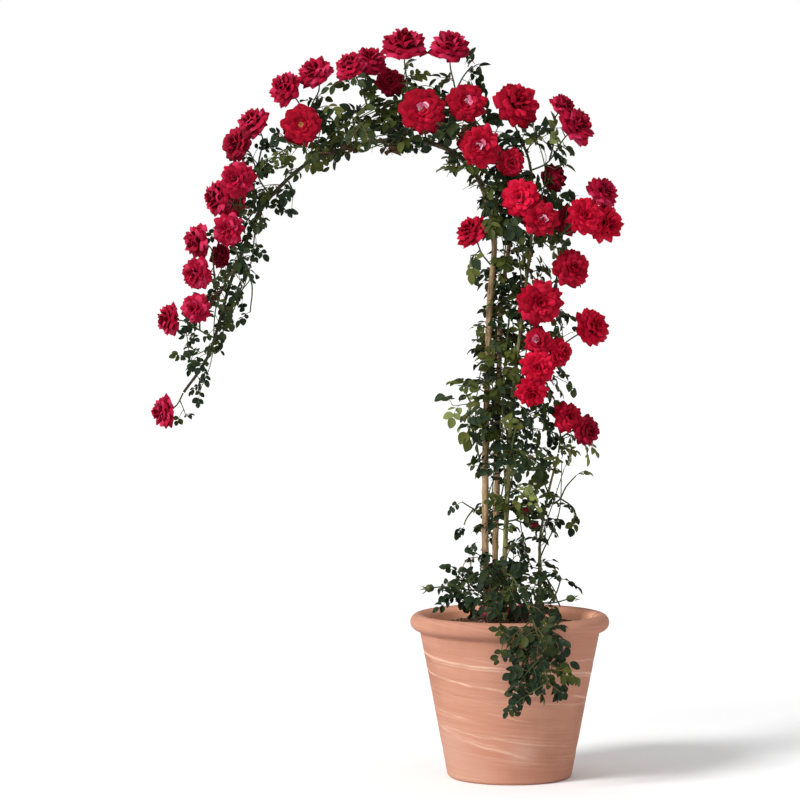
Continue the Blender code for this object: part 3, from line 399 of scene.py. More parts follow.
# Regions: the sprays that each joined piece stands for; a cane's shoots go to the first whose
# limits hold them, x below the one or height above the other
REGIONS = {
    "foot": "left_low buds base_left base_front base_right trail back_base back_low",
    "column": ("right_upper big_bloom right_shoot column_front side_top side_mid left_mid "
               "left_high mid_front back_mid"),
    "crest": ("rise_high rise_front rise_under shoot_top shoot_right shoot_mid column_top "
              "right_cluster left_bloom back_high"),
    "arch": ("bend_front top_left top_pair top_front top_crest top_right arch_front arch_under "
             "back_arch back_bend"),
    "tail": ("tail_end tail_inner tail_outer tail_upper fall_low fall_inner fall_mid fall_high "
             "bend_under back_fall"),
}
REGION_LIMITS = (("tail", -0.62, 9.0), ("arch", -0.16, 9.0), ("crest", -9.0, 1.30),
                 ("column", -9.0, 0.66))

# Leaf tones, and how often each region's sprays take them
LEAF_TONES = {
    "leaf_deep": (0.014, 0.025, 0.011), "leaf_dark": (0.026, 0.037, 0.012),
    "leaf_mid": (0.043, 0.055, 0.011), "leaf_olive": (0.08, 0.091, 0.018),
    "leaf_lime": (0.17, 0.2, 0.062), "leaf_bronze": (0.06, 0.034, 0.016)}
TONE_NAMES = tuple(LEAF_TONES)
PALE_LEAF_TONES = (TONE_NAMES.index("leaf_olive"), TONE_NAMES.index("leaf_lime"))
TONE_WEIGHTS = {
    "foot": (0.70, 0.26, 0.04, 0.00, 0.00, 0.00),
    "column": (0.24, 0.34, 0.26, 0.13, 0.03, 0.00),
    "crest": (0.20, 0.36, 0.28, 0.12, 0.04, 0.00),
    "arch": (0.32, 0.38, 0.20, 0.09, 0.00, 0.01),
    "tail": (0.52, 0.36, 0.08, 0.02, 0.00, 0.02),
}

# Petal tones: main, bright and deep of each family, then the pale centres; in a petal's rows the
# bright ones are also painted light, the deep ones painted shade and the pale ones partly painted
# highlight
PETAL_TONES = {
    "scarlet_main": (0.35, 0.0026, 0.018), "scarlet_bright": (0.44, 0.007, 0.031),
    "scarlet_deep": (0.25, 0.002, 0.013), "flame_main": (0.47, 0.003, 0.024),
    "flame_bright": (0.56, 0.008, 0.038), "flame_deep": (0.37, 0.0022, 0.018),
    "rose_main": (0.365, 0.0045, 0.029), "rose_bright": (0.48, 0.021, 0.072),
    "rose_deep": (0.25, 0.0028, 0.021), "dark_main": (0.23, 0.0025, 0.017),
    "dark_bright": (0.31, 0.006, 0.027), "dark_deep": (0.135, 0.002, 0.012),
    "petal_blush": (0.56, 0.11, 0.2), "petal_pale": (0.72, 0.42, 0.5)}
PETAL_NAMES = tuple(PETAL_TONES)

# Each spray's blooms in the source's order: family and form. Others are scarlet and full.
BLOOM_LOOKS = {
    "tail_end": "rose full", "tail_outer": "rose full, rose full",
    "tail_upper": "rose full, rose full", "fall_low": "rose full, dark cup",
    "fall_mid": "rose full, rose full", "fall_high": "dark cup, rose full",
    "bend_front": "scarlet golden", "top_left": "rose full, rose full",
    "top_pair": "rose full, rose full", "top_crest": "rose full, dark cup",
    "top_right": "rose full", "arch_front": "scarlet open", "rise_high": "scarlet open",
    "rise_front": "scarlet heart, scarlet cup", 
    "shoot_right": "rose full, rose full", "shoot_mid": "dark cup",
    "column_top": "scarlet heart, flame cup",
    "right_cluster": "flame ruffled, flame full, rose full, dark cup",
    "column_front": "flame ruffled, flame full, scarlet heart, flame ruffled",
    "big_bloom": "scarlet ruffled", "right_shoot": "flame ruffled",
    "side_top": "scarlet full, dark full", "back_arch": "rose full, scarlet golden",
    "back_fall": "rose full", "back_mid": "scarlet full, scarlet cup"}

# Whorls of petals, outermost first: count, length and width as shares of the bloom's diameter,
# angle from the axis at the foot and at the rim, curl of the rim, cup, edge roll, foot radius
WHORLS = {
    "full": ((9, 0.54, 0.37, 60, 98, 52, 0.10, 0.9, 0.020),
             (9, 0.54, 0.36, 46, 78, 58, 0.18, 0.9, 0.020),
             (9, 0.54, 0.33, 34, 58, 58, 0.26, 0.8, 0.018),
             (8, 0.53, 0.29, 24, 44, 54, 0.36, 0.6, 0.015),
             (7, 0.51, 0.26, 15, 31, 48, 0.45, 0.5, 0.012),
             (7, 0.48, 0.23, 7, 18, 42, 0.52, 0.3, 0.010),
             (5, 0.45, 0.18, 1, 7, 30, 0.62, 0.2, 0.006)),
    "cup": ((9, 0.54, 0.40, 56, 92, 48, 0.12, 0.9, 0.020),
            (9, 0.53, 0.38, 44, 70, 52, 0.20, 0.8, 0.020),
            (8, 0.52, 0.34, 32, 50, 48, 0.30, 0.6, 0.016),
            (7, 0.49, 0.29, 19, 32, 42, 0.42, 0.4, 0.013),
            (6, 0.45, 0.23, 8, 15, 32, 0.60, 0.2, 0.009)),
    "open": ((9, 0.53, 0.40, 56, 90, 30, 0.08, 0.7, 0.030),
             (9, 0.50, 0.38, 48, 78, 32, 0.14, 0.7, 0.028),
             (8, 0.45, 0.33, 40, 64, 32, 0.22, 0.6, 0.024),
             (7, 0.37, 0.27, 32, 48, 30, 0.32, 0.5, 0.018),
             (5, 0.27, 0.20, 24, 30, 30, 0.45, 0.3, 0.012),
             (4, 0.20, 0.13, 12, 20, 40, 0.55, 0.3, 0.008)),
}
WHORLS["golden"] = WHORLS["open"][:5]
WHORLS["heart"] = WHORLS["cup"] + ((5, 0.43, 0.20, 2, 6, 20, 0.60, 0.2, 0.005),)
WHORLS["ruffled"] = (
    (11, 0.53, 0.30, 62, 94, 42, 0.12, 0.9, 0.020),
    (11, 0.53, 0.30, 50, 76, 48, 0.20, 0.9, 0.020),
    (11, 0.53, 0.29, 40, 60, 52, 0.28, 0.8, 0.018),
    (10, 0.52, 0.27, 30, 47, 52, 0.36, 0.6, 0.015),
    (9, 0.50, 0.24, 21, 34, 48, 0.42, 0.5, 0.013),
    (8, 0.47, 0.21, 12, 22, 42, 0.50, 0.4, 0.011),
    (5, 0.43, 0.17, 4, 8, 28, 0.60, 0.3, 0.008))
PETAL_PEAKS = {"full": (0.0, 0.80), "cup": (0.0, 0.75), "heart": (0.0, 0.75),
               "ruffled": (0.0, 0.55), "open": (0.0, 0.50), "golden": (0.0, 0.50)}
PETAL_FOOT = -0.21      # where the petals start along the bloom's axis
PETAL_SCALE = {"full": 1.06, "cup": 1.03, "heart": 1.00, "ruffled": 1.03, "open": 0.96,
               "golden": 0.96}
FULLER_ASIDE = 0.20     # how much fuller a bloom is that looks aside or up
PALE_PETALS = {-2: 2, -1: 3}    # how many lie side by side in the last whorls of a pale heart
STAMENS = {"golden": 42, "open": 7}
STAMEN_REACH = 0.075

# Turned forms of a bloom's green cup and of a bud: radius and level in bloom diameters
CALYX_PROFILE = ((0.010, -0.345), (0.030, -0.325), (0.042, -0.290), (0.040, -0.255),
                 (0.034, -0.225), (0.030, -0.195))
BUD_PROFILE = ((0.06, -0.50), (0.20, -0.42), (0.27, -0.25), (0.26, -0.02), (0.30, 0.12),
               (0.27, 0.32), (0.17, 0.55), (0.05, 0.72))
# Sepals: leaflet form, stray of their turns, reach outward, range of their rise (1 where there
# is none), width, range of length, foot's distance from the axis and its level
SEPALS = {"bloom": (2, 0.15, 1.0, (-0.9, 0.35), 0.30, (0.20, 0.28), 0.03, -0.22),
          "bud": (0, 0.2, 0.45, (), 0.32, (0.75, 1.0), 0.20, -0.35),
          "hip": (0, 0.2, 0.9, (), 0.32, (0.40, 0.60), 0.12, 0.45)}

# Pale slip lines on the pot: height at the front, rise per radian, turn where the line starts
# and ends, half thickness, strength
SLIP_LINES = (
    (0.291, -0.019, -1.75, 2.6, 0.0025, 0.95), (0.284, -0.019, -1.3, 1.75, 0.0015, 0.7),
    (0.2345, -0.029, -1.8, 0.45, 0.0023, 1.0), (0.315, -0.011, 0.2, 2.4, 0.0014, 0.55),
    (0.148, -0.024, -1.8, -0.45, 0.0024, 0.65), (0.173, -0.035, -0.45, 0.35, 0.0012, 0.6),
    (0.112, -0.022, -1.35, 1.1, 0.0017, 0.5), (0.079, -0.043, -1.45, 0.4, 0.003, 0.6),
    (0.088, -0.04, -1.35, 0.0, 0.0016, 0.5), (0.242, -0.026, 0.75, 2.4, 0.0018, 0.75),
    (0.34, -0.012, 1.3, 2.95, 0.0014, 0.6), (0.215, -0.018, 1.1, 2.95, 0.0016, 0.7),
    (0.16, -0.021, 1.5, 2.9, 0.0012, 0.55), (0.2, -0.026, -2.95, -1.7, 0.0016, 0.75),
    (0.095, -0.023, -2.9, -1.6, 0.0012, 0.55))
SLIP_FADE = 0.35
SLIP_STRENGTH = 0.78
# Pale dust: place, reach where it is full and where it ends, strength
DUST_SPOTS = (((0.034, -0.165, 0.080), 0.022, 0.092, 0.46),
              ((-0.150, -0.085, 0.060), 0.060, 0.150, 0.30),
              ((-0.075, -0.150, 0.030), 0.030, 0.090, 0.20))
# Clay: warm, pale and brown
CLAY = ((0.435, 0.198, 0.130), (0.510, 0.270, 0.190), (0.310, 0.135, 0.088))
INSIDE_PAINTED_LIGHT = (1.00, 0.49, 0.31)     # painted light: the inside of the rim is coloured lighter than the outside, standing in for light on it
SLIP = (0.680, 0.440, 0.330)
DUST = (0.520, 0.350, 0.280)
# Soil: dark, light and wet
EARTH = ((0.055, 0.030, 0.019), (0.230, 0.125, 0.074), (0.065, 0.036, 0.023))
STREAK_TILT = 0.13          # fine streaks fall this much to the right
# Bark of old and young canes: dark, middle, light, the young tip's, and height of its ridges
BARKS = {"old": ((0.17, 0.095, 0.045), (0.34, 0.215, 0.110), (0.50, 0.370, 0.220),
                 (0.022, 0.022, 0.010), 0.0035),
         "young": ((0.105, 0.090, 0.030), (0.170, 0.165, 0.058), (0.26, 0.245, 0.100),
                   (0.040, 0.045, 0.017), 0.0015)}
BARK_AGE = (59.0, 72.0)     # where along a cane its bark turns to a young shoot's
GRAIN_SCALE = 60.0          # that place against metres along the cane

# Other looks: name, colour, range of roughness, scale of the grain, its height, gloss
TWIG_LOOKS = (("twig_green", (0.060, 0.078, 0.024), (0.45, 0.7), 300.0, 0.0005, 0.2),
              ("twig_brown", (0.17, 0.085, 0.045), (0.5, 0.8), 300.0, 0.0006, 0.3))
HEART_LOOKS = (("stamen_thread", (0.72, 0.45, 0.14), (0.5, 0.7), 300.0, 0.0003, 0.2),
               ("stamen_head", (0.74, 0.42, 0.06), (0.6, 0.8), 300.0, 0.0003, 0.2))
PRICKLE_LOOK = ("prickle", (0.23, 0.09, 0.045), (0.4, 0.6), 300.0, 0.0003, 0.35)
LEAF_SKIN = ((0.42, 0.62), 420.0, 0.0005, 0.09)
PETAL_SKIN = ((0.55, 0.80), 300.0, 0.0004, 0.06)
CHIP_SKIN = ((0.75, 0.95), 500.0, 0.0012, 0.2)
CHIP_TONES = (("chip_red", (0.20, 0.075, 0.040)), ("chip_brown", (0.115, 0.060, 0.034)),
              ("chip_dark", (0.045, 0.024, 0.015)), ("grit", (0.62, 0.58, 0.52)))


# -------- node materials

def add(tree, kind, inputs=None, **settings):
    """A node with its settings; each input takes a value or another node's output."""
    made = tree.nodes.new(kind)
    for key, value in settings.items():
        setattr(made, key, value)
    for key, value in (inputs or {}).items():
        if isinstance(value, bpy.types.NodeSocket):
            tree.links.new(value, made.inputs[key])
        else:
            made.inputs[key].default_value = value
    return made


def calc(tree, operation, *values):
    return add(tree, "ShaderNodeMath", dict(enumerate(values)), operation=operation).outputs[0]


def times(tree, first, second):
    return calc(tree, "MULTIPLY", first, second)


def spread(tree, value, low, high, to_low, to_high, smooth=False):
    """Map a value from one range to another, clamped."""
    kind = "SMOOTHSTEP" if smooth else "LINEAR"
    return add(tree, "ShaderNodeMapRange", {"Value": value, "From Min": low, "From Max": high,
                                            "To Min": to_low, "To Max": to_high},
               interpolation_type=kind).outputs["Result"]


def noise_of(tree, vector, scale, detail=3.0, roughness=0.55):
    return add(tree, "ShaderNodeTexNoise", {"Vector": vector, "Scale": scale, "Detail": detail,
                                            "Roughness": roughness}).outputs["Fac"]


def mixed(tree, factor, first, second):
    made = add(tree, "ShaderNodeMix", data_type="RGBA")
    for key, value in (("Factor", factor), ("A", first), ("B", second)):
        socket = next(s for s in made.inputs if s.name == key and s.enabled)
        if isinstance(value, bpy.types.NodeSocket):
            tree.links.new(value, socket)
        else:
            socket.default_value = value if key == "Factor" else (*value, 1.0)
    return next(s for s in made.outputs if s.enabled)


def scaled(tree, vector, *factors):
    return add(tree, "ShaderNodeVectorMath", {0: vector, 1: factors},
               operation="MULTIPLY").outputs["Vector"]


def raise_bump(tree, shader, height, distance):
    made = add(tree, "ShaderNodeBump", {"Strength": 1.0, "Distance": distance, "Height": height})
    tree.links.new(made.outputs["Normal"], shader.inputs["Normal"])


def material(name, colour, roughness, specular):
    """A new plain material, its node tree and its shader."""
    made = bpy.data.materials.new(name)
    made.use_nodes = True
    shader = made.node_tree.nodes["Principled BSDF"]
    shader.inputs["Base Color"].default_value = (*colour, 1.0)
    shader.inputs["Roughness"].default_value = roughness
    shader.inputs["Specular IOR Level"].default_value = specular
    return made, made.node_tree, shader


def place_of(tree, kind="Object"):
    return add(tree, "ShaderNodeTexCoord").outputs[kind]


def soft_skin(name, colour, rough, grain, depth, specular):
    """Plain colour whose gloss and fine grain vary: leaves, petals, green stems."""
    made, tree, shader = material(name, colour, rough[0], specular)
    patches = noise_of(tree, place_of(tree), grain * 0.25)
    tree.links.new(spread(tree, patches, 0.3, 0.7, *rough), shader.inputs["Roughness"])
    raise_bump(tree, shader, noise_of(tree, place_of(tree), grain), depth)
    return made


def bark_look(name, dark, middle, light, tip, ridge):
    """Bark whose grain runs along the cane, read from the straightened coordinates."""
    made, tree, shader = material(name, middle, 0.8, 0.25)
    grain = add(tree, "ShaderNodeAttribute", attribute_name="grain").outputs["Vector"]
    streaks = noise_of(tree, scaled(tree, grain, 1.0, 1.0, 0.22), 2.6, 5.0, 0.62)
    blotches = noise_of(tree, scaled(tree, grain, 1.0, 1.0, 0.6), 0.9, 2.0)
    value = calc(tree, "ADD", times(tree, streaks, 0.65),
                 times(tree, blotches, 0.35))
    low = mixed(tree, spread(tree, value, 0.34, 0.50, 0.0, 1.0), dark, middle)
    high = mixed(tree, spread(tree, value, 0.50, 0.66, 0.0, 1.0), low, light)
    run = add(tree, "ShaderNodeSeparateXYZ", {0: grain}).outputs["Z"]
    young = calc(tree, "ADD", run, spread(tree, blotches, 0.3, 0.7, -9.0, 9.0))
    aged = mixed(tree, spread(tree, young, *BARK_AGE, 0.0, 0.95), high, tip)
    tree.links.new(aged, shader.inputs["Base Color"])
    tree.links.new(spread(tree, streaks, 0.3, 0.7, 0.9, 0.62), shader.inputs["Roughness"])
    raise_bump(tree, shader, streaks, ridge)
    return made


def terracotta_look():
    """Dry clay with turning lines, pale slip lines that wind down to the right, and dust; painted
    light lightens the inside of the rim.
    """
    made, tree, shader = material("terracotta", CLAY[0], 0.9, 0.15)
    place = place_of(tree)
    axes = add(tree, "ShaderNodeSeparateXYZ", {0: place}).outputs
    turn = calc(tree, "ARCTAN2", axes["X"], times(tree, axes["Y"], -1.0))
    height = axes["Z"]

    def streaky(vector, across, along, detail=3.0, roughness=0.6):
        return noise_of(tree, scaled(tree, vector, across, across, along), 1.0, detail, roughness)

    lines = streaky(place, 1.2, 120.0)
    tilted = add(tree, "ShaderNodeCombineXYZ", {0: axes["X"], 1: axes["Y"], 2: calc(
        tree, "MULTIPLY_ADD", axes["X"], STREAK_TILT, height)}).outputs["Vector"]
    streaks = streaky(tilted, 3.5, 250.0, 4.0, 0.65)
    washes = streaky(tilted, 2.0, 40.0)
    bands = streaky(tilted, 2.5, 18.0)
    cloud = noise_of(tree, place, 5.0, 3.0, 0.6)
    specks = noise_of(tree, place, 240.0, 2.0, 0.7)
    warm, pale, brown = CLAY
    colour = mixed(tree, spread(tree, bands, 0.35, 0.68, 0.0, 0.45), warm, pale)
    colour = mixed(tree, spread(tree, cloud, 0.50, 0.72, 0.0, 0.55), colour, brown)
    colour = mixed(tree, spread(tree, lines, 0.50, 0.70, 0.0, 0.20), colour, brown)
    streaked = times(tree, spread(tree, streaks, 0.48, 0.68, 0.0, 0.42),
                     spread(tree, washes, 0.46, 0.66, 0.10, 1.0))
    colour = mixed(tree, streaked, colour, SLIP)
    reach = calc(tree, "SQRT", calc(tree, "ADD", *(times(tree, axes[axis], axes[axis])
                                                   for axis in "XY")))
    # painted light: the inside wall above the soil takes the lighter colour, standing in for
    # light falling on it
    hollow = times(tree, spread(tree, reach, 0.2090, 0.2230, 1.0, 0.0),
                   spread(tree, height, SOIL_TOP - 0.03, SOIL_TOP - 0.02, 0.0, 1.0))
    colour = mixed(tree, hollow, colour, INSIDE_PAINTED_LIGHT)
    colour = mixed(tree, spread(tree, specks, 0.62, 0.75, 0.0, 0.35), colour, pale)
    wobble = spread(tree, noise_of(tree, place, 9.0, 2.0), 0.2, 0.8, -0.006, 0.006)
    broken = spread(tree, streaky(place, 14.0, 40.0, 3.0, 0.55), 0.36, 0.58, 0.30, 1.0)
    slip = None
    for level, slope, start, stop, thick, strength in SLIP_LINES:
        middle = calc(tree, "MULTIPLY_ADD", turn, slope, level)
        away = calc(tree, "ABSOLUTE", calc(tree, "ADD", calc(tree, "SUBTRACT", height, middle),
                                           wobble))
        line = spread(tree, away, thick * 0.35, thick * 2.0, strength, 0.0, True)
        for low, high, *ends in ((start, start + SLIP_FADE, 0.0, 1.0),
                                 (stop - SLIP_FADE, stop, 1.0, 0.0)):
            line = times(tree, line, spread(tree, turn, low, high, *ends, True))
        slip = line if slip is None else calc(tree, "MAXIMUM", slip, line)
    slip = times(tree, times(tree, slip, broken), SLIP_STRENGTH)
    colour = mixed(tree, slip, colour, SLIP)
    for spot, full, end, strength in DUST_SPOTS:
        away = add(tree, "ShaderNodeVectorMath", {0: place, 1: spot}, operation="DISTANCE")
        away = calc(tree, "MULTIPLY_ADD", cloud, 0.060, away.outputs["Value"])
        dust = spread(tree, away, full, end, strength, 0.0, True)
        colour = mixed(tree, dust, colour, DUST)
    tree.links.new(colour, shader.inputs["Base Color"])
    relief = calc(tree, "ADD", times(tree, lines, 0.8), times(tree, slip, 0.25))
    relief = calc(tree, "ADD", relief, times(tree, specks, 0.15))
    raise_bump(tree, shader, relief, 0.0012)
    return made


def soil_look():
    made, tree, shader = material("soil", (0.09, 0.05, 0.03), 0.95, 0.2)
    place = place_of(tree)
    crumbs = noise_of(tree, place, 130.0, 4.0, 0.7)
    damp = noise_of(tree, place, 14.0, 2.0)
    dark, light, wet = EARTH
    colour = mixed(tree, spread(tree, crumbs, 0.35, 0.68, 0.0, 1.0), dark, light)
    colour = mixed(tree, spread(tree, damp, 0.4, 0.6, 0.0, 0.5), colour, wet)
    tree.links.new(colour, shader.inputs["Base Color"])
    raise_bump(tree, shader, crumbs, 0.003)
    return made


# -------- gathering meshes

class Heap:
    """Triangles of one kind, gathered into one object with a slot for each plain material."""

    def __init__(self):
        self.points, self.faces, self.slots = [], [], []
        self.count = 0

    def add(self, points, faces, slot=0):
        """Slot is one number, or one for each face."""
        faces = np.asarray(faces)
        self.points.append(points)
        self.faces.append(faces + self.count)
        self.slots.append(np.full(len(faces), slot) if np.isscalar(slot) else np.asarray(slot))
        self.count += len(points)

    def build(self, name, looks, smooth=True, sharp=None):
        points = np.concatenate(self.points)
        faces = np.concatenate(self.faces)
        mesh = bpy.data.meshes.new(name)
        mesh.vertices.add(len(points))
        mesh.vertices.foreach_set("co", points.astype(np.float32).ravel())
        mesh.loops.add(faces.size)
        mesh.loops.foreach_set("vertex_index", faces.astype(np.int32).ravel())
        mesh.polygons.add(len(faces))
        mesh.polygons.foreach_set("loop_start", np.arange(0, faces.size, 3, dtype=np.int32))
        for look in looks:
            mesh.materials.append(look)
        mesh.polygons.foreach_set("material_index", np.concatenate(self.slots).astype(np.int32))
        mesh.update(calc_edges=True)
        mesh.validate()
        if smooth:
            mesh.shade_smooth()
        else:
            mesh.shade_flat()
        if sharp:
            mesh.set_sharp_from_angle(angle=math.radians(sharp))
        made = bpy.data.objects.new(name, mesh)
        bpy.context.scene.collection.objects.link(made)
        return made


def dress(piece, slot, *nodes):
    """Ride on the plant's body and stand for the CAD nodes; slot is not used."""
    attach(piece, "root")
    if nodes:
        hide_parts(*nodes)


def unit(vectors):
    return vectors / np.linalg.norm(vectors, axis=-1, keepdims=True)


def carried_frames(points):
    """Directions along a line of points, and two square sides carried without twist."""
    runs = unit(np.diff(points, axis=0))
    ways = unit(np.vstack([runs[:1], runs[:-1] + runs[1:], runs[-1:]]))
    base = np.array((0.0, 1.0, 0.0)) if abs(ways[0][1]) < 0.9 else np.array((1.0, 0.0, 0.0))
    near = []
    for way in ways:
        base = base - way * base.dot(way)
        base = base / np.linalg.norm(base)
        near.append(base)
    near = np.array(near)
    return ways, near, np.cross(ways, near)


def lathe_points(profile, sides):
    """Rings of a profile of (radius, height) turned about the Z axis."""
    turns = math.tau * np.arange(sides) / sides
    radii, heights = np.array(profile).T
    return np.stack([radii[:, None] * np.sin(turns), -radii[:, None] * np.cos(turns),
                     np.repeat(heights[:, None], sides, axis=1)], axis=-1)


def lathe_faces(rings, sides):
    """Triangles between the rings of a turned form, outward when the profile runs upwards."""
    faces = []
    for ring in range(rings - 1):
        for k in range(sides):
            a, b = ring * sides + k, ring * sides + (k + 1) % sides
            faces += [(a, b, b + sides), (a, b + sides, a + sides)]
    return faces


TUBE_FACES = {}     # kept, since many tubes have the same


def tube_faces(rings, sides):
    """Triangles of a closed tube whose last two points are the middles of its ends."""
    if (rings, sides) not in TUBE_FACES:
        faces = lathe_faces(rings, sides)
        last = (rings - 1) * sides
        for k in range(sides):
            following = (k + 1) % sides
            faces += [(rings * sides, following, k),
                      (rings * sides + 1, last + k, last + following)]
        TUBE_FACES[rings, sides] = np.array(faces)
    return TUBE_FACES[rings, sides]


def add_tube(heap, points, radii, sides, slot=0):
    """A closed tube; radii is one pair for start and end, or one for each point."""
    points = np.asarray(points, float)
    radii = np.linspace(*radii, len(points)) if len(radii) == 2 else np.asarray(radii)
    _, near, far = carried_frames(points)
    turns = math.tau * np.arange(sides) / sides
    spokes = (np.cos(turns)[None, :, None] * near[:, None, :]
              + np.sin(turns)[None, :, None] * far[:, None, :])
    rings = points[:, None, :] + spokes * radii[:, None, None]
    corners = np.vstack([rings.reshape(-1, 3), points[:1], points[-1:]])
    heap.add(corners, tube_faces(len(points), sides), slot)


# -------- pot and soil

def inner_radius(height):
    """Radius of the pot's hollow at a height."""
    share = (height - POT_FLOOR) / (POT_HEIGHT - POT_FLOOR)
    low = FOOT_RADIUS - POT_WALL
    high = ROLL_CENTRE_RADIUS - ROLL_RADIUS
    return low + (high - low) * share


def outer_radius(height):
    """Radius of the pot's outside at a height, its rolled rim with it."""
    body = FOOT_RADIUS + (BODY_TOP_RADIUS - FOOT_RADIUS) * height / BODY_TOP
    bulge = ROLL_RADIUS ** 2 - (height - ROLL_HEIGHT) ** 2
    roll = ROLL_CENTRE_RADIUS + np.sqrt(np.maximum(bulge, 0.0))
    return np.where(bulge > 0, np.maximum(body, roll), body)


def arc(centre, radius, start, stop, count):
    """Points round a centre in the profile's plane, angles in degrees from +r."""
    turns = [math.radians(start + (stop - start) * i / count) for i in range(count + 1)]
    return [(centre[0] + radius * math.cos(t), centre[1] + radius * math.sin(t)) for t in turns]


def turned_line(start, stop, count, rng):
    """A side wall from start to stop whose turning lines stand a little in and out."""
    points = []
    depth = 0.0
    for i in range(1, count):
        share = i / count
        depth = 0.55 * depth + rng.uniform(-1.0, 1.0) * TURNING_DEPTH
        ease = min(1.0, 6 * share, 6 * (1 - share))
        points.append((start[0] + (stop[0] - start[0]) * share - (TURNING_INSET + depth) * ease,
                       start[1] + (stop[1] - start[1]) * share))
    return points


def make_pot():
    rng = random.Random(POT_SEED)
    roll = (ROLL_CENTRE_RADIUS, ROLL_HEIGHT)
    foot = (FOOT_RADIUS - FOOT_ROUND, FOOT_ROUND)
    under_roll = (BODY_TOP_RADIUS, BODY_TOP)
    profile = [(AXIS_GAP, 0.0), (0.09, 0.0)]
    profile += arc(foot, FOOT_ROUND, -90, 0, 8)
    profile += turned_line(profile[-1], under_roll, 74, rng)
    profile += [(BODY_TOP_RADIUS - 0.0004, BODY_TOP - 0.0015),
                (BODY_TOP_RADIUS + 0.0012, BODY_TOP)]
    profile += arc(roll, ROLL_RADIUS, -68, 168, 26)
    mouth, floor = profile[-1], (inner_radius(POT_FLOOR), POT_FLOOR)
    profile += turned_line(mouth, floor, 30, rng)
    profile += [floor, (AXIS_GAP, POT_FLOOR)]
    rings = lathe_points(profile, POT_SIDES)
    for ring in rings:
        for k, point in enumerate(ring):
            turn = math.tau * k / POT_SIDES
            wave = noise.noise(Vector((math.sin(turn) * 1.3, math.cos(turn) * 1.3, point[2] * 9)))
            point[:2] *= 1 - POT_DENT * (0.5 + 0.5 * wave)
    heap = Heap()
    heap.add(rings.reshape(-1, 3), lathe_faces(len(profile), POT_SIDES))
    pot = heap.build("pot_turned", [terracotta_look()], sharp=50)
    dress(pot, "terracotta", "pot")


def mound(reach):
    """How far the soil has risen at a distance from the pot's middle."""
    share = np.clip((MOUND_REACH[0] - reach) / (MOUND_REACH[0] - MOUND_REACH[1]), 0.0, 1.0)
    return SOIL_MOUND * share * share * (3 - 2 * share)


def soil_height(x, y):
    """Top of the soil: a low mound with crumbs, lower at the pot's wall."""
    reach = math.hypot(x, y)
    edge = min(1.0, max(0.0, (reach - EDGE_START) / EDGE_WIDTH))
    crumb = sum(noise.noise(Vector((x * scale, y * scale, offset))) * share
                for scale, offset, share in CRUMBS)
    return (SOIL_TOP - 0.0010 - SOIL_EDGE_DROP * edge + CRUMB_HEIGHT * crumb
            + float(mound(reach)))


def make_soil():
    heap = Heap()
    wall = inner_radius(SOIL_TOP - SOIL_EDGE_DROP) - SOIL_CLEARANCE
    floor = POT_FLOOR + 0.0006
    radii = [wall * (i / SOIL_RINGS) ** 0.8 for i in range(SOIL_RINGS, 0, -1)]
    profile = [(AXIS_GAP, floor), (inner_radius(floor) - SOIL_CLEARANCE, floor)]
    profile += [(radius, SOIL_TOP) for radius in radii] + [(AXIS_GAP, SOIL_TOP)]
    rings = lathe_points(profile, SOIL_SIDES)
    for ring in rings[2:]:
        for point in ring:
            point[2] = soil_height(point[0], point[1])
    heap.add(rings.reshape(-1, 3), lathe_faces(len(profile), SOIL_SIDES))
    bed = heap.build("soil_bed", [soil_look()])
    dress(bed, "soil", "soil")

    rng = random.Random(CHIP_SEED)
    chips = Heap()
    for i in range(CHIP_COUNT):
        place = soil_spot(rng, wall - 0.014)
        pale = i % GRIT_EVERY == 0
        size = rng.uniform(0.0025, 0.0050) if pale else rng.uniform(0.004, 0.013)
        add_chip(chips, place, size, pale, 3 if pale else rng.randrange(3), rng)
    looks = [soft_skin(*tone, *CHIP_SKIN) for tone in CHIP_TONES]
    dress(chips.build("soil_chips", looks, smooth=False), "soil")


def soil_spot(rng, reach):
    turn, share = rng.uniform(0, math.tau), math.sqrt(rng.uniform(0.0, 1.0))
    x, y = reach * share * math.cos(turn), reach * share * math.sin(turn)
    return Vector((x, y, soil_height(x, y)))


def add_chip(heap, place, size, round_one, slot, rng):
    """A splinter of bark or a crumb of white grit: an uneven six-sided slab."""
    flat = 0.75 if round_one else rng.uniform(0.18, 0.42)
    narrow = 0.9 if round_one else rng.uniform(0.35, 0.7)
    tilt = Matrix.Rotation(rng.uniform(0, math.tau), 3, 'Z') @ Matrix.Rotation(
        rng.uniform(-0.6, 0.6), 3, 'X') @ Matrix.Rotation(rng.uniform(-0.5, 0.5), 3, 'Y')
    corners = []
    for level in (-0.5, 0.5):
        for k in range(6):
            turn = math.pi * k / 3 + rng.uniform(-0.3, 0.3)
            reach = rng.uniform(0.36, 0.52) * (0.8 if level > 0 else 1.0)
            corner = Vector((math.cos(turn) * reach, math.sin(turn) * reach * narrow,
                             level * flat + rng.uniform(-0.05, 0.05)))
            corners.append(tuple(place + tilt @ corner * size))
    faces = [(k, (k + 1) % 6, 6 + (k + 1) % 6) for k in range(6)]
    faces += [(k, 6 + (k + 1) % 6, 6 + k) for k in range(6)]
    faces += [(6, 6 + k, 7 + k) for k in range(1, 5)] + [(0, k + 1, k) for k in range(1, 5)]
    heap.add(np.array(corners), faces, slot)


# -------- paths of the source

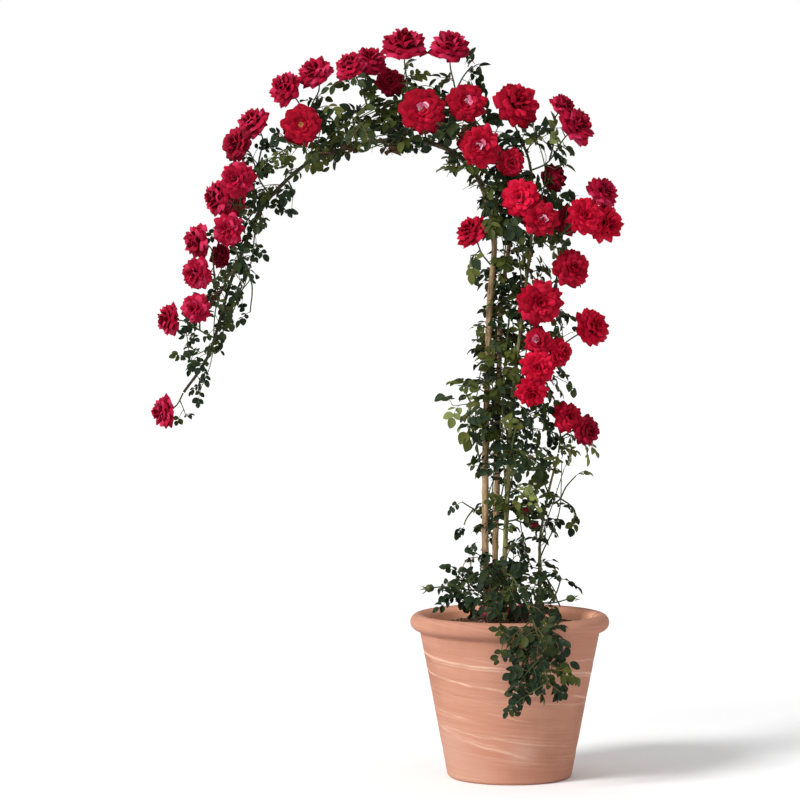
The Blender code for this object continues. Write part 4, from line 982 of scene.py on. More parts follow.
class Path:
    """A polyline that is read by its share of length."""

    def __init__(self, points):
        self.points = [Vector(p) for p in points]
        self.runs = [0.0]
        for a, b in zip(self.points, self.points[1:]):
            self.runs.append(self.runs[-1] + (b - a).length)
        self.length = self.runs[-1]

    def at(self, share):
        """Point and direction at a share of the length."""
        want = min(max(share, 0.0), 1.0) * self.length
        i = 0
        while i < len(self.runs) - 2 and self.runs[i + 1] < want:
            i += 1
        a, b = self.points[i], self.points[i + 1]
        part = (want - self.runs[i]) / (self.runs[i + 1] - self.runs[i])
        before = self.points[max(i - 1, 0)]
        after = self.points[min(i + 2, len(self.points) - 1)]
        direction = (b - before).normalized().lerp((after - a).normalized(), part)
        return a.lerp(b, part), direction.normalized()


def smooth_path(knots, step=0.010):
    """Catmull-Rom curve through the knots."""
    knots = [Vector(k) for k in knots]
    ends = [2 * knots[0] - knots[1], *knots, 2 * knots[-1] - knots[-2]]
    points = [knots[0]]
    for a, b, c, d in zip(ends, ends[1:], ends[2:], ends[3:]):
        count = max(2, round((c - b).length / step))
        for i in range(1, count + 1):
            t = i / count
            points.append(0.5 * (2 * b + (c - a) * t + (2 * a - 5 * b + 4 * c - d) * t * t
                                 + (3 * b - a - 3 * c + d) * t ** 3))
    return Path(points)


def bezier_path(start, leave, end, arrive):
    """Cubic curve from start to end with its two pull vectors, as short straight runs."""
    near, far = start + leave, end - arrive
    count = max(2, round((end - start).length / STEM_STEP))
    points = []
    for i in range(count + 1):
        t = i / count
        u = 1 - t
        points.append(u ** 3 * start + 3 * u * u * t * near + 3 * u * t * t * far + t ** 3 * end)
    return Path(points)


def sideways(direction, turn):
    """Unit vector square to a direction, turned about it."""
    base = Vector((0, 0, 1)) if abs(direction.z) < 0.9 else Vector((1, 0, 0))
    side = direction.cross(base).normalized()
    return Matrix.Rotation(turn, 3, direction) @ side


def cane_radius(cane, path, share):
    base, tip, flare, _ = CANES[cane]
    return base + (tip - base) * share + flare * math.exp(-share * path.length / FLARE_HEIGHT)


def facing(turn, lift):
    turn, lift = math.radians(turn), math.radians(lift)
    return Vector((math.sin(turn) * math.cos(lift), -math.cos(turn) * math.cos(lift),
                   math.sin(lift)))


def stem_paths(row, canes):
    """The spray's own stem and the side stems to its other ends."""
    name, cane, share, ends = row
    point, along = canes[cane].at(share)
    stems = []
    for k, (x, y, z, size, turn, lift) in enumerate(ends):
        centre = Vector((x, y, z))
        look = facing(turn, lift)
        end = centre - look * (CALYX * size - SINK) if size else centre
        if k == 0:
            towards = (end - point).normalized()
            leave = along if share == 1.0 else (towards - along * towards.dot(along)).normalized()
            start = point + leave * cane_radius(cane, canes[cane], share)
        else:
            start, along = stems[0].at(FORK_SHARE + FORK_STEP * (k - 1))
            towards = (end - start).normalized()
            leave = (towards + 0.6 * along).normalized()
        span = (end - start).length
        arrive = look if size else (towards + Vector((0, 0, -0.35))).normalized()
        if name == TRAIL:
            leave, arrive = TRAIL_LEAVE, TRAIL_ARRIVE
        stems.append(bezier_path(start, leave * span * STEM_PULL[0], end,
                                 arrive * span * STEM_PULL[1]))
    return stems


def outward_up(point, rng):
    """A leaf's upper side looks up and away from the plant's middle line."""
    under_arch = point.x < -ARCH_START
    away = Vector((0.0 if under_arch else point.x + 0.02, point.y, 0.0)).normalized()
    loose = Vector((rng.uniform(-1, 1), rng.uniform(-1, 1), rng.uniform(-1, 1)))
    return (away * 0.75 + Vector((0, 0, 0.7)) + loose * 0.45).normalized()


def leaf_length(point, share):
    """Leaves get smaller towards the arch's tail."""
    return LEAF_LENGTH * share * (1 - LEAF_TAPER * min(1.0, max(0.0, -point.x / TAIL_REACH)))


def table_value(table, at, column=1):
    """Straight-line reading of a table whose rows start with the place."""
    rows = sorted(table)
    for low, high in zip(rows, rows[1:]):
        if low[0] <= at <= high[0]:
            part = (at - low[0]) / (high[0] - low[0])
            return low[column] + (high[column] - low[column]) * part
    return rows[0][column] if at < rows[0][0] else rows[-1][column]


def leaf_scale(point):
    if point.x < -ARCH_START and point.z > ARCH_LOW:
        return table_value(ARCH_LEAVES, point.x)
    return table_value(UPRIGHT_LEAVES, point.z)


def leaf_spot(point, along, turn, rng):
    """Root, direction, upper side and length of a leaf at a node; it lies flat along the pot."""
    side = sideways(along, turn)
    direction = side + along * rng.uniform(0.25, 0.75) + Vector((0, 0, -0.30))
    if point.y < -BODY_TOP_RADIUS:
        direction.y *= POT_FLATTEN
    direction.normalize()
    size = leaf_length(point, rng.uniform(0.84, 1.12))
    return point, direction, outward_up(point, rng), size


def end_leaf(path, rng):
    point, along = path.at(0.97)
    droop = Vector((0, 0, -rng.uniform(0.1, 0.5)))
    size = leaf_length(point, rng.uniform(0.9, 1.15))
    return point, (along + droop).normalized(), outward_up(point, rng), size


def twig_at(point, along, turn, length, rng):
    """A side twig by the source's rule."""
    leave = (sideways(along, turn) + along * 0.55).normalized()
    tip = point + leave * length + Vector((0, 0, rng.uniform(-0.3, 0.15))) * length
    arrive = (tip - point).normalized()
    return bezier_path(point, leave * length * TWIG_PULL[0], tip, arrive * length * TWIG_PULL[1])


def with_leaves(twig, places, turn, rng):
    """A twig and its leaf spots: one at each of the places along it, and one at its end."""
    leaves = [leaf_spot(*twig.at(place), turn + k * GOLDEN_TURN, rng)
              for k, place in enumerate(places)]
    return twig, leaves + [end_leaf(twig, rng)]


def grow(row, index, stems):
    """Twigs and leaf spots of one spray, drawn as the source draws them."""
    rng = random.Random(SEED + index)
    twigs, leaves = [], []
    turn = rng.uniform(0, math.tau)
    for stem, end in zip(stems, row[3]):
        count = max(2, round(stem.length / NODE_PITCH))
        for i in range(count):
            share = (i + 0.75) / (count + 0.35)
            point, along = stem.at(share)
            turn += GOLDEN_TURN + rng.uniform(-0.3, 0.3)
            if i % 2 == 0:
                twig = twig_at(point, along, turn, TWIG_LENGTH * rng.uniform(*TWIG_SHARE), rng)
                twigs.append(with_leaves(twig, TWIG_LEAVES, turn + LEAF_TURN, rng))
            else:
                leaves.append(leaf_spot(point, along, turn, rng))
        if end[3] == 0:
            leaves.append(end_leaf(stem, rng))
    return twigs, leaves


# -------- finer growth

def fullness(point):
    """Share of the finer leaves that a place keeps, open where the photograph shows sky."""
    if point.x < -ARCH_START - 0.05 and point.z > ARCH_LOW:
        return table_value(ARCH_FULLNESS, point.x)
    return table_value(FULLNESS, point.z, 1 if point.x < -0.03 else 2)


def more_growth(canes, rng):
    """The leafy twigs that grow from the canes to the tips in MORE_TWIGS."""
    grown = []
    for cane, share, tip in MORE_TWIGS:
        point, along = canes[cane].at(share)
        run = Vector(tip) - point
        leave = (run.normalized() + 0.6 * along).normalized()
        twig = bezier_path(point, leave * run.length * TWIG_PULL[0], Vector(tip),
                           run * TWIG_PULL[1])
        grown.append(with_leaves(twig, MORE_LEAVES, rng.uniform(0, math.tau), rng))
    return grown


def cane_growth(cane, path, seed):
    """Shoots that climb beside a cane, leafy spurs on it, and leaves that clothe its arch."""
    rng = random.Random(seed)
    shoots, spurs, clothing = [], [], []
    turn = rng.uniform(0, math.tau)
    for i in range(int(path.length / SHOOT_EVERY)):
        start = (i + rng.uniform(0.1, 0.9)) * SHOOT_EVERY / path.length
        length = rng.uniform(*SHOOT_LENGTH)
        away = rng.uniform(*SHOOT_AWAY)
        turn += GOLDEN_TURN
        swing = rng.uniform(-2.4, 2.4)
        stop = min(1.0, start + length / path.length)
        count = max(3, round((stop - start) * path.length / SHOOT_STEP))
        points = []
        for k in range(count + 1):
            share = k / count
            point, along = path.at(start + (stop - start) * share)
            square = Vector((0, 1, 0)) - along * along.y
            side = Matrix.Rotation(turn + swing * share, 3, along) @ square.normalized()
            reach = away * math.sin(0.5 * math.pi * min(1.0, 1.6 * share))
            points.append(point + side * (cane_radius(cane, path, start) * 0.6 + reach))
        shoot = Path(points)
        grown = rng.random() < math.sqrt(fullness(shoot.at(0.5)[0]))
        leaves = []
        nodes = max(2, round(shoot.length / SHOOT_PITCH))
        for k in range(nodes):
            point, along = shoot.at((k + 1.2) / (nodes + 0.6))
            leaf = leaf_spot(point, along, turn + k * GOLDEN_TURN + rng.uniform(-0.3, 0.3), rng)
            if rng.random() < math.sqrt(fullness(point)):
                leaves.append(leaf)
        leaves.append(end_leaf(shoot, rng))
        if grown:
            shoots.append((shoot, leaves))
    for i in range(int(path.length / SPUR_EVERY)):
        share = (i + rng.uniform(0.3, 0.9)) * SPUR_EVERY / path.length
        point, along = path.at(share)
        turn += GOLDEN_TURN + rng.uniform(-0.4, 0.4)
        spur = twig_at(point, along, turn, rng.uniform(*SPUR_LENGTH), rng)
        spur = with_leaves(spur, TWIG_LEAVES, turn + LEAF_TURN, rng)
        if rng.random() < fullness(point):
            spurs.append(spur)
    for i in range(int(path.length / CLOTHING_EVERY)):
        share = (i + rng.uniform(0.2, 0.8)) * CLOTHING_EVERY / path.length
        point, along = path.at(share)
        turn += GOLDEN_TURN
        leaf = leaf_spot(point, along, turn, rng)
        arched = point.x < -ARCH_START
        if rng.random() < (table_value(CLOTHING, point.x) if arched
                           else table_value(CLOTHING_UPRIGHT, point.z)):
            clothing.append(leaf)
    return shoots, spurs, clothing


def finer_growth(row, index, stems, twigs):
    """Forks of the trailing spray, more leaves on a spray's stems, and one for each twig."""
    rng = random.Random(FINE_SEED + index)
    leaves, branches = [], []
    turn = rng.uniform(0, math.tau)
    for stem, end in zip(stems, row[3]):
        reach = stem.length - (BARE_BELOW_BLOOM if end[3] else 0.0)
        for i in range(max(1, round(reach / FINE_PITCH))):
            point, along = stem.at((i + 0.4) * FINE_PITCH / stem.length)
            turn += GOLDEN_TURN
            leaf = leaf_spot(point, along, turn, rng)
            if (i + 0.4) * FINE_PITCH < reach and rng.random() < 0.8 * fullness(point):
                leaves.append(leaf)
        if row[0] == TRAIL:
            for place, side_turn, length in TRAIL_FORKS:
                point, along = stem.at(place)
                fork = twig_at(point, along, side_turn, length, rng)
                branches.append(with_leaves(fork, FORK_LEAVES, turn, rng))
    on_twigs = []
    for twig, _ in twigs:
        point, along = twig.at(TWIG_FINE_LEAF)
        turn += GOLDEN_TURN
        leaf = leaf_spot(point, along, turn, rng)
        on_twigs.append(leaf if rng.random() < 0.7 * fullness(point) else None)
    return branches, leaves, on_twigs


# -------- leaves

LEAF_ROWS = (0.0, 0.08, 0.25, 0.46, 0.67, 0.86, 1.0)
LEAF_COLUMNS = (-1.0, -0.5, 0.0, 0.5, 1.0)
TOOTH = 0.022           # how far a tooth stands out, as a share of the leaflet's length


def leaflet_form(fold, droop, twist):
    """Toothed blade of unit length along +Y, folded along its midrib and arched down."""
    def surface(x, y):
        return (x, y, fold * abs(x) - droop * y * y + twist * x * y)

    points = [surface(0.0, 0.0)]
    edges = {-1: [0], 1: [0]}
    faces = []
    rows = []
    for y in LEAF_ROWS[1:-1]:
        half = 0.5 * LEAFLET_WIDTH * math.sin(math.pi * y ** 0.90) ** 0.66
        rows.append(len(points))
        points += [surface(column * half, y) for column in LEAF_COLUMNS]
        edges[-1].append(rows[-1])
        edges[1].append(rows[-1] + 4)
    points.append(surface(0.0, 1.0))
    tip = len(points) - 1
    edges[-1].append(tip)
    edges[1].append(tip)
    for k in range(4):
        faces.append((0, rows[0] + k + 1, rows[0] + k))
        faces.append((tip, rows[-1] + k, rows[-1] + k + 1))
    for low, high in zip(rows, rows[1:]):
        for k in range(4):
            faces.append((low + k, low + k + 1, high + k + 1))
            faces.append((low + k, high + k + 1, high + k))
    for side, line in edges.items():
        for a, b in zip(line, line[1:]):
            (ax, ay, _), (bx, by, _) = points[a], points[b]
            x = ax + (bx - ax) * 0.72 + side * TOOTH
            y = ay + (by - ay) * 0.72 + 0.3 * TOOTH
            points.append(surface(x, y))
            tooth = len(points) - 1
            faces.append((a, tooth, b) if side > 0 else (a, b, tooth))
    return np.array(points), np.array(faces)


LEAFLET_FORMS = [leaflet_form(*bend) for bend in (
    (0.35, 0.16, 0.10), (0.22, 0.10, -0.15), (0.50, 0.24, 0.0), (0.12, 0.30, 0.18))]


def seen_place(point):
    """Where the camera sees a point, carried to the plane y = 0: x and height."""
    nearer = CAMERA_PLACE.y / (CAMERA_PLACE.y - point[1])
    return np.array((CAMERA_PLACE.x + (point[0] - CAMERA_PLACE.x) * nearer,
                     CAMERA_PLACE.z + (point[2] - CAMERA_PLACE.z) * nearer))


def places_at(point, places):
    """Those of the seen places that a point lies in."""
    x, z = seen_place(point)
    return [place for place in places
            if (x - place[0]) ** 2 + (z - place[1]) ** 2 < place[2] ** 2]


def open_share(point):
    """Share of leaves kept at a place, by the open places that the camera sees there."""
    places = OPEN_PLACES + (CANE_PLACES if point[1] < CANE_FRONT else ())
    return min([1.0, *(place[3] for place in places_at(point, places))])


class Keeper:
    """Says where a leaflet may be: inside the part's box, off the pot, out of the blooms."""

    def __init__(self, blooms):
        self.low = np.array(CAD_BOX[0]) - BOX_SLACK
        self.high = np.array(CAD_BOX[1]) + BOX_SLACK
        self.centres = np.array([b[:3] for b in blooms])
        self.sizes = np.array([b[3] for b in blooms])
        self.axes = np.array([tuple(facing(b[4], b[5])) for b in blooms])
        self.seen = np.array([seen_place(b[:3]) for b in blooms])
        self.corners = np.array(OUTLINE)
        self.following = np.roll(self.corners, -1, axis=0)

    def outside(self, point):
        """How far a point stands outside the foliage's outline; 0 inside it."""
        seen = seen_place(point)
        sides = self.following - self.corners
        away = seen - self.corners
        share = np.einsum("ij,ij->i", away, sides) / np.einsum("ij,ij->i", sides, sides)
        nearest = self.corners + np.clip(share, 0.0, 1.0)[:, None] * sides
        distance = np.sqrt(((seen - nearest) ** 2).sum(axis=1).min())
        crossing = (self.corners[:, 1] > seen[1]) != (self.following[:, 1] > seen[1])
        at = self.corners[:, 0] + sides[:, 0] * (seen[1] - self.corners[:, 1]) / np.where(
            sides[:, 1] == 0.0, 1.0, sides[:, 1])
        inside = np.count_nonzero(crossing & (at > seen[0])) % 2 == 1
        return 0.0 if inside else distance

    def clear_of_blooms(self, point, front):
        """Not inside a bloom, nor within a length in front of its face."""
        away = point - self.centres
        ahead = np.einsum("ij,ij->i", away, self.axes)
        aside = np.sqrt(np.maximum(np.einsum("ij,ij->i", away, away) - ahead ** 2, 0.0))
        behind, beside, round_it = BLOOM_ROOM
        inside = (ahead > -behind * self.sizes) & (ahead < front) & (aside < beside * self.sizes)
        spread = np.sqrt(((seen_place(point) - self.seen) ** 2).sum(axis=1))
        hiding = (point[1] < self.centres[:, 1]) & (spread < round_it * self.sizes)
        return not (inside | hiding).any()

    def settled(self, points):
        """The points, pushed off the pot's outside and up from the soil, or None."""
        if (points < self.low).any() or (points > self.high).any():
            return None
        under = points[:, 2] < POT_HEIGHT + RIM_ROOM
        if not under.any():
            return points
        reach = np.hypot(points[:, 0], points[:, 1])
        heights = np.minimum(points[:, 2], POT_HEIGHT)
        if reach[under].mean() > ROLL_CENTRE_RADIUS or points[under, 2].min() < SOIL_TOP - 0.06:
            wall = outer_radius(heights) + LEAF_OFF_POT
            push = np.where(under, np.maximum(wall / np.maximum(reach, 1e-6), 1.0), 1.0)
            points = points * np.stack([push, push, np.ones(len(push))], axis=1)
            return points if (points > self.low).all() else None
        if (reach[under] > inner_radius(heights[under]) - LEAF_IN_POT).any():
            return None
        points = points.copy()
        points[:, 2] = np.maximum(points[:, 2], SOIL_TOP + LEAF_OFF_SOIL + mound(reach))
        return points


def add_leaf(heaps, spot, tone, rng, keeper):
    """A compound leaf: an arched rachis with its leaflets. True when there was room for it."""
    root, direction, upper, length = spot
    length = length * leaf_scale(root)
    widen = (0.80 + 0.35 * rng.random()) * (HIGH_SLENDER if root.z > HIGH_LEAVES else 1.0)
    side = direction.cross(upper).normalized()
    normal = side.cross(direction).normalized()
    chance = rng.random()
    three = table_value(THREE_LEAFLETS, root.x) if root.z > ARCH_LOW else 0.0
    pairs = 3 if chance < SEVEN_LEAFLETS * (1 - three) else 1 if chance > 1 - three else 2
    sag = rng.uniform(0.04, 0.20)
    jitters = [[rng.random() for _ in range(6)] for _ in range(2 * pairs + 1)]
    tint = rng.random()
    allowed = OUTLINE_SOFT if rng.random() < OUTLINE_STRAY else TWIG_STRAY
    middle = np.array(root + direction * length * 0.5)
    if rng.random() > open_share(middle) or keeper.outside(middle) > allowed:
        return False
    if not keeper.clear_of_blooms(middle, LEAF_ROOM):
        return False
    if tint > 0.35 and places_at(middle, PALE_LEAF_PLACES):
        tone = PALE_LEAF_TONES[int(tint * 7.0) % 2]
    reach = length * RACHIS_SHARE
    line = []
    for k in range(5):
        share = k / 4
        line.append(root + direction * reach * share + normal * 0.10 * reach * math.sin(
            math.pi * share) - Vector((0, 0, sag * reach * share * share)))
    spine = Path(line)
    last, first, less = LEAFLET_SHARE
    blades = [(1.0, 0.0, last)]
    for k in range(pairs):
        place = 0.92 - (k + 0.32) * (0.40 if pairs == 3 else 0.52) * 0.75
        blades += [(place, 1.0, first - less * k), (place - 0.05, -1.0, first - less * k)]
    placed = 0
    for (place, hand, share), jitter in zip(blades, jitters):
        point, along = spine.at(place)
        if hand and jitter[5] < LOST_LEAFLETS:
            continue
        way = along + side * hand * (0.8 + 0.8 * jitter[0]) * (1 if hand else 0.0)
        way = way + Vector((0, 0, -0.35 * jitter[1])) + side * 0.4 * (jitter[2] - 0.5)
        way.normalize()
        lean = normal + side * (1.0 * (jitter[3] - 0.5)) + along * (0.8 * (jitter[4] - 0.5))
        across = way.cross(lean).normalized()
        over = across.cross(way).normalized()
        size = length * share * (0.80 + 0.42 * jitter[5])
        start = point + way * PETIOLULE
        form, faces = LEAFLET_FORMS[int(jitter[1] * 3.99)]
        basis = np.array((across * widen, way, over)) * size
        points = form @ basis + np.array(start)
        middle = points.mean(axis=0)
        if keeper.outside(middle) > allowed:
            continue
        if not keeper.clear_of_blooms(middle, LEAFLET_ROOM):
            continue
        points = keeper.settled(points)
        if points is None:
            continue
        slot = tone if jitter[0] < 0.85 else (tone + 1) % 4
        heaps["leaves"].add(points, faces, slot)
        if hand:
            add_tube(heaps["twigs"], [point, start + way * 0.002], (0.0005, 0.0004), 3, 0)
        placed += 1
    if placed > 1:
        ends = np.array([tuple(p) for p in spine.points])
        settled = keeper.settled(ends)
        if settled is not None:
            add_tube(heaps["twigs"], settled, RACHIS_RADIUS, 4, 1 if tint < 0.25 else 0)
    return placed > 1


# -------- blooms

PETAL_ROWS = np.linspace(0.0, 1.0, 7)
PETAL_COLUMNS = np.linspace(-1.0, 1.0, 7)
PETAL_FINE = 25


def smooth_part(values, low, high):
    part = np.clip((values - low) / (high - low), 0.0, 1.0)
    return part * part * (3 - 2 * part)


def petal_faces():
    columns, rows = len(PETAL_COLUMNS), len(PETAL_ROWS)
    faces = []
    for row in range(rows - 1):
        for k in range(columns - 1):
            a = row * columns + k
            faces += [(a, a + 1, a + columns + 1), (a, a + columns + 1, a + columns)]
    return np.array(faces)


PETAL_FACES = petal_faces()
PETAL_ROW_FACES = 2 * (len(PETAL_COLUMNS) - 1)


def petal_points(length, width, start, finish, curl, cup, roll, wave, phase, peak):
    """Grid of points (across, outward, along the axis) of one petal, row by row."""
    fine = np.linspace(0.0, 1.0, PETAL_FINE)
    angle = np.radians(start + (finish - start) * fine ** 0.8
                       + curl * smooth_part(fine, 0.6, 1.0))
    step = 1.0 / (PETAL_FINE - 1)
    out = np.concatenate([[0.0], np.cumsum((np.sin(angle[1:]) + np.sin(angle[:-1])) / 2 * step)])
    rise = np.concatenate([[0.0], np.cumsum((np.cos(angle[1:]) + np.cos(angle[:-1])) / 2 * step)])
    picks = (PETAL_ROWS * (PETAL_FINE - 1)).round().astype(int)
    out, rise, angle = (values[picks][:, None] for values in (out, rise, angle))
    v, u = PETAL_ROWS[:, None], PETAL_COLUMNS[None, :]
    reach = length * (1 - (0.12 + 0.20 * peak) * np.abs(u) ** (2.4 - peak) * v)
    half = width / 2 * (0.20 + 0.80 * np.sin(math.pi / 2 * np.minimum(1.0, v / 0.68)))
    half = half * (1 - (0.12 + 0.42 * peak) * smooth_part(v, 0.68, 1.05))
    lift = (cup * half * u ** 2 * (1 - 0.5 * v) - roll * half * np.abs(u) ** 3 * v ** 2
            + wave * width * np.sin(4.6 * u + phase) * v ** 2)
    across = u * half * (1 - 0.25 * cup * u ** 2)
    outward = reach * out - np.cos(angle) * lift
    along = reach * rise + np.sin(angle) * lift
    return np.stack([across, outward, along], axis=-1).reshape(-1, 3)


def petal_slots(form, family, whorl, count, place, rng):
    """Material slot of each row of a petal's faces, from its foot to its rim; brighter feet are
    painted light, deep rims painted shade, pale hearts partly painted highlight.
    """
    main, bright, deep = (PETAL_NAMES.index(f"{family}_{tone}")
                          for tone in ("main", "bright", "deep"))
    blush, pale = PETAL_NAMES.index("petal_blush"), PETAL_NAMES.index("petal_pale")
    chance = rng.random()
    body = main if chance < 0.62 else bright if chance < 0.86 else deep
    inner = whorl >= count - 2
    # the pale heart is partly the petals' paler feet and partly a painted highlight at the
    # bloom's middle
    heart = [pale, pale, pale, pale, blush, pale if chance < 0.5 else blush]
    if form in STAMENS:
        body = main if chance < 0.55 else deep if chance < 0.88 else bright
        # pale foot, and a deep rim that is painted shade on the rolled edge
        rows = [pale, pale if inner else blush, blush if inner else body, body, body, deep]
        if form == "open" and inner and place < 2:
            rows = heart
    elif form == "heart" and inner:
        rows = [blush, body, body, body, bright, bright]
        if place < PALE_PETALS[whorl - count]:
            rows = heart
    elif form in ("heart", "cup") and inner:
        # pale and blush feet of the inner petals: partly their own colour, partly painted
        # highlight
        rows = [pale, blush, blush, blush if chance < 0.3 else body, body, bright]
    elif chance > 0.95:
        rows = [deep, blush, blush, bright, body, body]
    else:
        # bright foot rows are painted light, standing in for light through the petals in the gaps
        # between whorls; a deep rim is painted shade on the rolled edge
        rows = [bright, bright, body, body, body, deep if chance < 0.40 else body]
    return np.repeat(rows, PETAL_ROW_FACES)


def radial(turn):
    """Unit vectors outward and across at a turn about the Z axis."""
    outward = np.array((math.cos(turn), math.sin(turn), 0.0))
    return outward, np.array((-outward[1], outward[0], 0.0))


def turned_petal(grid, turn, rise):
    """A petal's points, turned to its place round the axis; rise scales its height."""
    outward, across = radial(turn)
    return (grid[:, :1] * across + grid[:, 1:2] * outward
            + grid[:, 2:] * np.array((0.0, 0.0, rise)))


def bloom_frame(end):
    """Centre, and the bloom's own across, aside and facing vectors as rows."""
    x, y, z, _, turn, lift = end
    axis = facing(turn, lift)
    side = sideways(axis, 0.0)
    return np.array((x, y, z)), np.array((side, axis.cross(side), axis))


def add_bloom(heaps, end, look, rng):
    """Whorls of petals, stamens where the heart shows, and the green cup with its sepals."""
    family, form = look.split()
    centre, basis = bloom_frame(end)
    size = end[3] * PETAL_SCALE[form] * (1 + FULLER_ASIDE * (1 - abs(basis[2][1])))
    whorls = WHORLS[form]
    spin = rng.uniform(0, math.tau)
    for level, row in enumerate(whorls):
        count, length, width, start, finish, curl, cup, roll, foot = row
        spin += math.pi / count + rng.uniform(-0.2, 0.2)
        for k in range(count):
            turn = spin + math.tau * k / count + rng.uniform(-0.14, 0.14)
            tip = rng.uniform(-12, 12)
            grid = petal_points(
                length * rng.uniform(0.93, 1.06), width * rng.uniform(0.92, 1.10),
                start + rng.uniform(-5, 5), finish + tip, curl * rng.uniform(0.7, 1.3),
                cup * rng.uniform(0.8, 1.2), roll * rng.uniform(0.5, 1.5),
                rng.uniform(0.03, 0.11), rng.uniform(0, 6.28), rng.uniform(*PETAL_PEAKS[form]))
            grid[:, 1] += foot
            grid[:, 2] += PETAL_FOOT + 0.008 * level
            local = turned_petal(grid, turn, 1.0)
            slots = petal_slots(form, family, level, len(whorls), k, rng)
            heaps["petals"].add(centre + local @ basis * size, PETAL_FACES, slots)
    if form in STAMENS:
        add_stamens(heaps["hearts"], centre, basis, size, STAMENS[form], rng)
    add_lathe(heaps["twigs"], CALYX_PROFILE, 8, centre, basis, size)
    add_sepals(heaps["twigs"], "bloom", rng.uniform(0, 6.28), centre, basis, size, rng)


OCTAHEDRON = np.array([(0, 1, 4), (1, 2, 4), (2, 3, 4), (3, 0, 4),
                       (1, 0, 5), (2, 1, 5), (3, 2, 5), (0, 3, 5)])
ANTHER = 0.0011 * np.array([(1, 0, 0), (0, 1, 0), (-1, 0, 0), (0, -1, 0), (0, 0, 1.4),
                            (0, 0, -1.4)])


def add_stamens(heap, centre, basis, size, count, rng):
    """Thin threads round the heart, each with a small anther."""
    for k in range(count):
        reach = radial(k * GOLDEN_TURN)[0] * (STAMEN_REACH * math.sqrt((k + 0.5) / count))
        head = reach * rng.uniform(0.8, 1.3)
        head[2] = PETAL_FOOT + rng.uniform(0.10, 0.17)
        foot = reach * 0.6
        foot[2] = PETAL_FOOT
        line = np.array([foot, head]) * size @ basis + centre
        add_tube(heap, line, (0.00035, 0.00025), 3)
        heap.add(line[1] + ANTHER, OCTAHEDRON, 1)


def add_lathe(heap, profile, sides, centre, basis, size, slot=0):
    """A turned form about a bloom's axis, closed by a point at each end."""
    rings = lathe_points(profile, sides).reshape(-1, 3)
    ends = np.array([(0.0, 0.0, profile[0][1]), (0.0, 0.0, profile[-1][1])])
    points = np.vstack([rings, ends]) * size @ basis + centre
    heap.add(points, tube_faces(len(profile), sides), slot)


def add_sepals(heap, kind, start, centre, basis, size, rng):
    """The five sepals under a bloom, round a bud or on a hip."""
    bend, stray, lean, rises, width, lengths, foot, level = SEPALS[kind]
    form, faces = LEAFLET_FORMS[bend]
    for k in range(5):
        outward, across = radial(start + math.tau * k / 5 + rng.uniform(-stray, stray))
        rise = rng.uniform(*rises) if rises else 1.0
        way = unit(outward * lean + np.array((0.0, 0.0, rise)))
        blade = form * np.array((width, 1.0, 1.0)) * rng.uniform(*lengths)
        local = (blade @ np.array((across, way, np.cross(across, way))) + outward * foot
                 + np.array((0.0, 0.0, level)))
        heap.add(local * size @ basis + centre, faces)


def add_bud(heaps, end, kind, rng):
    """A closed bud, or a green hip, in its sepals."""
    size = end[3]
    centre, basis = bloom_frame(end)
    if kind == "hip":
        profile = [(r * 1.35, z * 0.75) for r, z in BUD_PROFILE]
        add_lathe(heaps["twigs"], profile, 10, centre, basis, size)
    else:
        add_lathe(heaps["petals"], BUD_PROFILE, 10, centre, basis, size * 0.85,
                  PETAL_NAMES.index("dark_deep"))
    add_sepals(heaps["twigs"], kind, 0.0, centre, basis, size, rng)


# -------- canes

def make_cane(cane, path, look, slot, seed):
    """A cane whose bark has furrows, swollen nodes and a flared foot."""
    rng = random.Random(seed)
    rings = round(path.length / BARK_STEP)
    shares = np.linspace(0.0, 1.0, rings + 1)
    places = [path.at(share) for share in shares]
    points = np.array([tuple(place) for place, _ in places])
    points[0][2] = SOIL_TOP - CANE_SINK
    _, near, far = carried_frames(points)
    turns = math.tau * np.arange(BARK_SIDES) / BARK_SIDES
    node_turns = [rng.uniform(0, math.tau) for _ in range(int(path.length / CANE_NODE) + 2)]
    corners, grain = [], []
    for i, share in enumerate(shares):
        run = share * path.length
        radius = cane_radius(cane, path, share)
        near_node = round(run / CANE_NODE)
        swell = math.exp(-((run - near_node * CANE_NODE) / NODE_REACH) ** 2)
        for turn in turns:
            around = Vector((math.cos(turn), math.sin(turn), 0.0))
            furrow = noise.noise(around * 2.6 + Vector((0, 0, run * 14.0)))
            broad = noise.noise(around * 0.9 + Vector((7.0, 0, run * 7.0)))
            bud_side = max(0.0, math.cos(turn - node_turns[near_node])) ** 3
            relief = 1 + 0.13 * furrow + 0.10 * broad + swell * (0.05 + 0.22 * bud_side)
            spoke = near[i] * math.cos(turn) + far[i] * math.sin(turn)
            corners.append(points[i] + spoke * radius * relief)
            grain.append((around.x, around.y, run * GRAIN_SCALE))
    heap = Heap()
    corners += [points[0], points[-1]]
    grain += [(0.0, 0.0, 0.0), (0.0, 0.0, path.length * GRAIN_SCALE)]
    heap.add(np.array(corners), tube_faces(rings + 1, BARK_SIDES))
    made = heap.build(f"cane_{cane}", [look])
    layer = made.data.attributes.new("grain", 'FLOAT_VECTOR', 'POINT')
    layer.data.foreach_set("vector", np.asarray(grain, np.float32).ravel())
    dress(made, slot, *LIMBS[cane])


PRICKLE_FACES = ((0, 4, 6), (0, 6, 5), (0, 1, 4), (1, 2, 4), (2, 6, 4), (2, 5, 6), (2, 3, 5),
                 (3, 0, 5), (0, 3, 2), (0, 2, 1))


